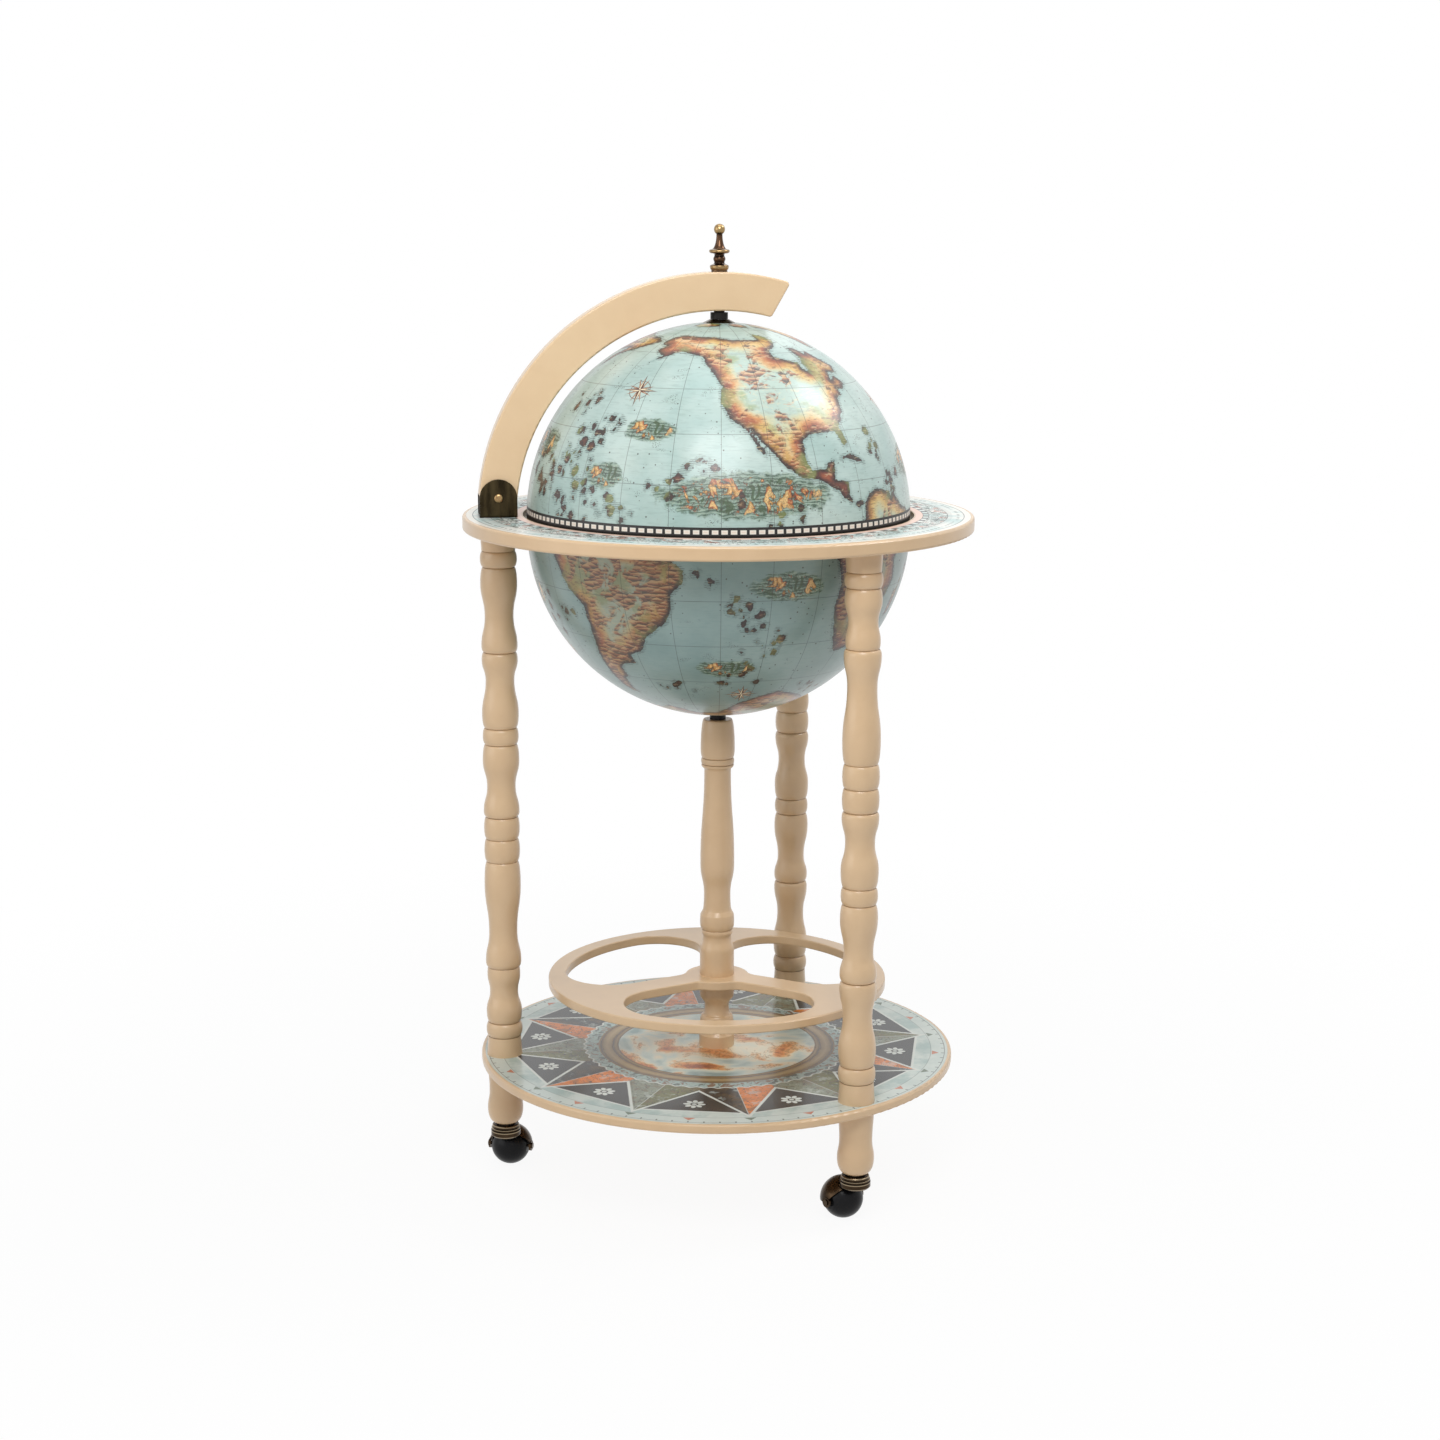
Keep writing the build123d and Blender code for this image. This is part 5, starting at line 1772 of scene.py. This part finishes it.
@dataclass
class GlobeHalf:
    """One half of the globe: a moulded shell with a varnished map outside and a lining inside.

    Its wall starts cut_mm off the equator or with a straight lip rim_mm high, and ends hole_mm off the axis.
    """

    name: str
    node: str
    body: str
    facing: Facing
    chart: GlobeMap
    cut_mm: float
    rim_mm: float
    hole_mm: float
    wall_mm: float = 3.0
    columns: int = 512
    rows: int = 120
    lining_rows: int = 20
    rim_rows: int = 6

    def arc(self, radius_mm: float, rows: int) -> np.ndarray:
        """Points of one face of the wall, from its equator to its pole.

        Args:
            radius_mm: The face's radius.
            rows: How many points it has.

        Returns:
            Radius and height of each point, in millimetres.
        """
        start = math.asin(self.cut_mm / radius_mm)
        end = math.acos(self.hole_mm / radius_mm)
        rise = np.linspace(start, end, rows)
        height = self.chart.centre_mm[2] + self.facing.value * radius_mm * np.sin(rise)
        return np.stack([radius_mm * np.cos(rise), height], axis=1)

    def outline(self) -> tuple[np.ndarray, int]:
        """The wall's outline, counterclockwise, and how many of its corners are outside.

        Returns:
            The corners, and their number on the outside.
        """
        outside = self.arc(self.chart.radius_mm, self.rows)
        inside = self.arc(self.chart.radius_mm - self.wall_mm, self.lining_rows)
        if self.facing is Facing.UP:
            return np.concatenate([outside, inside[::-1]]), len(outside)
        rim = np.linspace(0, self.rim_mm, self.rim_rows)[1:]
        outside = np.concatenate([outside[::-1], [(outside[0][0], outside[0][1] + rise) for rise in rim]])
        inside = np.concatenate([[(inside[0][0], inside[0][1] + self.rim_mm)], inside])
        return np.concatenate([outside, inside]), len(outside)

    def land_depth(self, places_mm: np.ndarray, shoreline: Shoreline) -> np.ndarray:
        """How far inland places lie on the map.

        Args:
            places_mm: The places, one row each.
            shoreline: The coasts of the map.

        Returns:
            The distances in globe radii, below 0 at sea.
        """
        x, y, z = (places_mm - np.array(self.chart.centre_mm)).T
        longitude = np.degrees(np.arctan2(y, x)) - self.chart.front_angle + self.chart.front_longitude
        longitude = (longitude + 180.0) % 360.0 - 180.0
        latitude = np.degrees(np.arcsin(np.clip(z / self.chart.radius_mm, -1, 1)))
        return shoreline.depth(longitude, latitude)

    def build(self, shoreline: Shoreline, finishes: Finishes) -> None:
        """Turns the shell and stores how far inland each of its points lies.

        Args:
            shoreline: The coasts of the map.
            finishes: The shared finishes.
        """
        outline, outside = self.outline()
        edges = np.arange(len(outline)) < outside - 1
        shell = lathe(self.name, outline, self.columns, edges)
        shell.data.materials.append(self.chart.material())
        shell.data.materials.append(finishes.lining)
        places_mm = np.array([vertex.co for vertex in shell.data.vertices]) / MM
        depth = shell.data.attributes.new("land_depth", "FLOAT", "POINT")
        depth.data.foreach_set("value", self.land_depth(places_mm, shoreline).astype(np.float32))
        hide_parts(self.node)
        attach(shell, self.body)
        log.info("%s has %d faces", self.name, len(shell.data.polygons))


@dataclass
class Globe:
    """The globe: two halves of one size under one map of the world, each with its own longitude in front."""

    radius_mm: float = 165.0
    lower_equator_mm: float = 577.0
    upper_equator_mm: float = 585.0
    lower_longitude: float = -25.0
    upper_longitude: float = -125.0
    lower_lip_mm: float = 7.6
    upper_cut_mm: float = 3.3
    lower_hole_mm: float = 4.05
    upper_hole_mm: float = 7.55

    def lower_map(self) -> GlobeMap:
        """The map of the lower half, with darker sea and land than the upper half's: painted shade for the
        half under the table ring.

        Returns:
            The map.
        """
        return GlobeMap(
            "lower_map", (0.0, 0.0, self.lower_equator_mm), self.radius_mm, self.lower_longitude,
            roses=(Rose(-14.0, -52.0, 13.0), Rose(95.0, -32.0, 15.0), Rose(-100.0, -38.0, 15.0)),
            reefs=(Reef(-4.0, -11.0, 66.0, 26.0), Reef(-22.0, -39.0, 50.0, 22.0),
                   Reef(75.0, -22.0, 70.0, 30.0), Reef(-105.0, -18.0, 70.0, 30.0)),
            # Painted shade: the darker sea colours and land tone stand in for the shade that the table ring
            # casts over the lower half.
            band=False, hill_gap=0.495, sea=srgb(121, 149, 147), sea_pale=srgb(147, 171, 168),
            land_shade_tone=srgb(214, 203, 190))

    def upper_map(self) -> GlobeMap:
        """The map of the upper half, with the banded equator.

        Returns:
            The map.
        """
        return GlobeMap(
            "upper_map", (0.0, 0.0, self.upper_equator_mm), self.radius_mm, self.upper_longitude,
            roses=(Rose(-158.0, 44.0, 15.0), Rose(-40.0, 38.0, 14.0), Rose(72.0, 8.0, 12.0)),
            reefs=(Reef(-148.0, 31.0, 46.0, 22.0), Reef(-117.0, 12.5, 150.0, 40.0),
                   Reef(-161.0, 17.0, 40.0, 22.0), Reef(-40.0, 18.0, 80.0, 32.0),
                   Reef(160.0, 24.0, 70.0, 30.0), Reef(68.0, 6.0, 60.0, 22.0)),
            band=True)

    def build(self, finishes: Finishes) -> None:
        """Draws the coasts and turns both halves.

        Args:
            finishes: The shared finishes.
        """
        islets = [land for group in ISLET_GROUPS for land in group.lands()]
        shoreline = Shoreline([*CONTINENTS, *islets])
        lower = GlobeHalf("lower_half", "lower_shell", "lower_globe", Facing.DOWN, self.lower_map(),
                          cut_mm=0.0, rim_mm=self.lower_lip_mm, hole_mm=self.lower_hole_mm)
        upper = GlobeHalf("upper_half", "upper_shell", "upper_globe", Facing.UP, self.upper_map(),
                          cut_mm=self.upper_cut_mm, rim_mm=0.0, hole_mm=self.upper_hole_mm)
        lower.build(shoreline, finishes)
        upper.build(shoreline, finishes)


# -------------------- the other sub-assemblies
@dataclass
class Stand:
    """The shelf, the legs and feet, the table ring, and the column with its bottle ring."""

    wooden: tuple[str, ...] = (
        "base_board", "table_ring", "leg_left", "leg_right", "leg_rear", "foot_left", "foot_right",
        "foot_rear", "column_lower", "column_upper", "bottle_ring")
    thread: ThreadedEnd = ThreadedEnd(4.0, 2.4, 1.0)
    thread_gap_mm: float = 0.3

    def build(self, finishes: Finishes) -> None:
        """Dresses the wood, the two prints and the hidden fasteners, and threads the column rod's two ends.

        Args:
            finishes: The shared finishes.
        """
        dress(finishes.cream, *self.wooden)
        dress(finishes.shelf, "base_print")
        dress(finishes.ring, "ring_print")
        dress(finishes.beech, "leg_dowels")
        dress(finishes.zinc, "leg_studs", "column_rod", "column_nut", "lower_pole_nut")
        dress(finishes.black, "pivot_spacer")
        ends = [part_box("column_rod")[0][2] / MM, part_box("lower_pole_nut")[1][2] / MM]
        spots = [(0.0, 0.0, end + self.thread_gap_mm) for end in ends]
        threads = self.thread.pattern("column_thread").lay("column_rod_threads", spots, finishes.zinc)
        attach(threads, "frame")


@dataclass
class GlassRack:
    """The rack for glasses in the lower half, on its hoop, with three screws."""

    screw: CrossScrew = CrossScrew(2.9, 2.9, 1.4, 13.4)
    screw_angles: tuple[float, ...] = (30.0, 150.0, 270.0)

    def build(self, finishes: Finishes) -> None:
        """Dresses the rack and makes its screws.

        Args:
            finishes: The shared finishes.
        """
        dress(finishes.cream, "glass_rack", "rack_hoop", "pole_block")
        dress(finishes.zinc, "lower_pole_washer")
        low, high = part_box("rack_screws")
        width = (high[1] - low[1]) / MM
        # A known fault: the box is 1.5 radii wide in Y, not 1.73, so the circle comes out 20 mm too small.
        reach = (width - 2 * self.screw.head_radius) / math.sqrt(3)
        turns = [math.radians(angle) for angle in self.screw_angles]
        spots = [(reach * math.cos(turn), reach * math.sin(turn), high[2] / MM) for turn in turns]
        screws = self.screw.pattern("rack_screw").lay("glass_rack_screws", spots, finishes.zinc)
        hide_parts("rack_screws")
        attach(screws, "lower_globe")
        log.info("rack screws stand on a circle of %.1f mm", reach)


@dataclass
class MeridianArm:
    """The arm over the globe, with the pole's fittings and its finial."""

    # Painted light: a lighter copy of the cream paint, standing in for the stronger light that the arm gets
    # at the top of the piece.
    cream: Colour = srgb(236, 206, 166)
    lit_cream_shade: Colour = srgb(228, 196, 155)
    thread: ThreadedEnd = ThreadedEnd(3.0, 2.4)
    thread_gap_mm: float = 0.3

    def build(self, finishes: Finishes) -> None:
        """Dresses the arm and the pole's fittings, and threads the pole rod's lower end.

        Args:
            finishes: The shared finishes.
        """
        # The arm's lighter cream is painted light.
        cream = CreamPaint("arm_lit_cream", self.cream, self.lit_cream_shade)
        brass = TurnedBrass(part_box("finial")[0][2] / MM)
        dress(cream.material(), "meridian_arm")
        dress(brass.material(), "finial")
        dress(finishes.black, "pole_knob", "rim_trim", "pole_washer")
        dress(finishes.bronze, "pole_cap")
        dress(finishes.zinc, "pole_rod", "pole_nut")
        spot = (0.0, 0.0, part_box("pole_rod")[0][2] / MM + self.thread_gap_mm)
        thread = self.thread.pattern("pole_thread").lay("pole_rod_thread", [spot], finishes.zinc)
        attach(thread, "arm")


@dataclass
class ArmHinge:
    """The bronze bracket that the arm turns in, its bolt and its four screws."""

    spacing_x_mm: float = 20.0
    spacing_y_mm: float = 13.0
    axis_x_mm: float = -190.0
    screw: CrossScrew = CrossScrew(2.9, 1.5, 1.4, 9.95)

    def build(self, finishes: Finishes) -> None:
        """Dresses the bracket and its bolt, and makes the four screws.

        Args:
            finishes: The shared finishes.
        """
        dress(finishes.dark_bronze, "hinge_bracket")
        dress(finishes.brass, "hinge_bolt", "hinge_nut")
        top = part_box("bracket_screws")[1][2] / MM
        spots = [(self.axis_x_mm + x * self.spacing_x_mm / 2, y * self.spacing_y_mm / 2, top)
                 for x in (-1, 1) for y in (-1, 1)]
        screws = self.screw.pattern("bracket_screw").lay("hinge_bracket_screws", spots, finishes.dark_bronze)
        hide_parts("bracket_screws")
        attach(screws, "frame")


@dataclass
class Casters:
    """Three ball casters: a bronze hood and collar, an axle and a black ball."""

    places: tuple[str, ...] = ("left", "right", "rear")

    def build(self, finishes: Finishes) -> None:
        """Dresses each caster.

        Args:
            finishes: The shared finishes.
        """
        for place in self.places:
            dress(finishes.caster_bronze, f"caster_hood_{place}")
            dress(finishes.bronze, f"caster_axle_{place}")
            dress(finishes.ball, f"caster_wheel_{place}")
        dress(finishes.bronze, "caster_stems")
        dress(finishes.zinc, "stem_sockets")


# -------------------- the studio
@dataclass(frozen=True)
class Lamp:
    """A square soft box that looks at a point of the object."""

    name: str
    azimuth: float
    elevation: float
    distance: float
    size: float
    watts: float
    target: tuple[float, float, float] = (0.0, 0.0, 0.45)

    def build(self) -> None:
        """Hangs the lamp."""
        data = bpy.data.lights.new(self.name, "AREA")
        data.shape = "SQUARE"
        data.size = self.size
        data.energy = self.watts
        lamp = bpy.data.objects.new(self.name, data)
        turn, rise = math.radians(self.azimuth), math.radians(self.elevation)
        out = Vector((math.sin(turn) * math.cos(rise), -math.cos(turn) * math.cos(rise), math.sin(rise)))
        lamp.location = Vector(self.target) + out * self.distance
        lamp.rotation_euler = out.to_track_quat("Z", "Y").to_euler()
        bpy.context.scene.collection.objects.link(lamp)


@dataclass
class Studio:
    """The camera, the soft boxes, the pale surroundings and the floor."""

    camera_place: tuple[float, float, float] = (-0.3263, -2.2254, 0.8607)
    camera_heading: float = 0.1464604596
    camera_pitch: float = 0.2
    camera_roll: float = 0.003679
    lens: float = 65.49
    sensor: float = 36.0
    far: float = 100.0
    surround: float = 0.2
    floor_size: float = 12.0
    floor_colour: Colour = (0.9, 0.9, 0.9)
    floor_roughness: float = 0.9
    floor_fade: tuple[float, float, float, float] = (0.25, 1.2, 0.93, 1.0)
    lamps: tuple[Lamp, ...] = (
        Lamp("key_box", -8.0, 34.0, 1.45, 0.8, 14.0, (0.0, 0.0, 0.76)),
        Lamp("right_box", 96.0, 46.0, 2.0, 0.75, 13.5, (0.0, 0.0, 0.6)),
        Lamp("left_box", -72.0, 16.0, 2.4, 1.8, 13.0),
        Lamp("rear_box", 170.0, 40.0, 2.8, 1.6, 7.0),
        Lamp("top_box", 0.0, 86.0, 2.0, 1.4, 10.0, (0.0, 0.0, 0.6)),
    )

    def add_camera(self) -> None:
        """Sets up the camera, with its heading, pitch and roll in radians."""
        data = bpy.data.cameras.new("camera")
        data.lens = self.lens
        data.sensor_width = self.sensor
        data.clip_end = self.far
        camera = bpy.data.objects.new("camera", data)
        turn = (Matrix.Rotation(-self.camera_heading, 4, "Z")
                @ Matrix.Rotation(math.pi / 2 - self.camera_pitch, 4, "X")
                @ Matrix.Rotation(self.camera_roll, 4, "Z"))
        camera.matrix_world = Matrix.Translation(self.camera_place) @ turn
        bpy.context.scene.collection.objects.link(camera)
        bpy.context.scene.camera = camera

    @staticmethod
    def seen(tree: bpy.types.NodeTree) -> bpy.types.NodeSocket:
        """Is 1 for rays that show the surroundings: to the camera, in a reflection or through glass.

        Args:
            tree: The tree that the mask goes into.

        Returns:
            The mask.
        """
        path = tree.nodes.new("ShaderNodeLightPath")
        total = path.outputs["Is Camera Ray"]
        for name in ("Is Glossy Ray", "Is Transmission Ray"):
            more = tree.nodes.new("ShaderNodeMath")
            more.operation = "MAXIMUM"
            tree.links.new(total, more.inputs[0])
            tree.links.new(path.outputs[name], more.inputs[1])
            total = more.outputs[0]
        return total

    def add_surround(self) -> None:
        """Makes the surroundings white to look at and softer as a light."""
        world = bpy.data.worlds.new("surround")
        world.use_nodes = True
        tree = world.node_tree
        background = tree.nodes["Background"]
        background.inputs["Color"].default_value = (1, 1, 1, 1)
        level = tree.nodes.new("ShaderNodeMix")
        level.inputs[2].default_value = self.surround
        level.inputs[3].default_value = 1.0
        tree.links.new(self.seen(tree), level.inputs[0])
        tree.links.new(level.outputs[0], background.inputs["Strength"])
        bpy.context.scene.world = world

    def add_floor(self) -> None:
        """Lays a pale floor that shows white and keeps the object's shadow."""
        mesh = bpy.data.meshes.new("floor")
        half = self.floor_size / 2
        corners = [(-half, -half, 0), (half, -half, 0), (half, half, 0), (-half, half, 0)]
        mesh.from_pydata(corners, [], [(0, 1, 2, 3)])
        floor = keep("floor", mesh)
        material = bpy.data.materials.new("floor")
        material.use_nodes = True
        tree = material.node_tree
        matt = tree.nodes["Principled BSDF"]
        matt.inputs["Base Color"].default_value = (*self.floor_colour, 1.0)
        matt.inputs["Roughness"].default_value = self.floor_roughness
        glow = tree.nodes.new("ShaderNodeEmission")
        both = tree.nodes.new("ShaderNodeMixShader")
        share = tree.nodes.new("ShaderNodeMath")
        share.operation = "MULTIPLY"
        place = tree.nodes.new("ShaderNodeTexCoord")
        reach = tree.nodes.new("ShaderNodeVectorMath")
        reach.operation = "LENGTH"
        fade = tree.nodes.new("ShaderNodeMapRange")
        fade.interpolation_type = "SMOOTHSTEP"
        for name, value in zip(("From Min", "From Max", "To Min", "To Max"), self.floor_fade):
            fade.inputs[name].default_value = value
        surface = tree.nodes["Material Output"].inputs[0]
        for output, socket in (
                (place.outputs["Object"], reach.inputs[0]), (reach.outputs["Value"], fade.inputs["Value"]),
                (self.seen(tree), share.inputs[0]), (fade.outputs[0], share.inputs[1]),
                (share.outputs[0], both.inputs[0]), (matt.outputs[0], both.inputs[1]),
                (glow.outputs[0], both.inputs[2]), (both.outputs[0], surface)):
            tree.links.new(output, socket)
        mesh.materials.append(material)

    def build(self) -> None:
        """Sets everything up."""
        self.add_camera()
        self.add_surround()
        self.add_floor()
        for lamp in self.lamps:
            lamp.build()
        bpy.context.scene.view_settings.view_transform = "Standard"


def main() -> None:
    """Builds every sub-assembly in order."""
    logging.basicConfig(level=logging.INFO, format="%(name)s: %(message)s")
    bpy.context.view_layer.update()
    Studio().build()
    finishes = Finishes()
    for assembly in (Stand(), GlassRack(), MeridianArm(), ArmHinge(), Casters(), Globe()):
        assembly.build(finishes)
        log.info("%s is done", type(assembly).__name__)


if __name__ == "__main__":
    main()
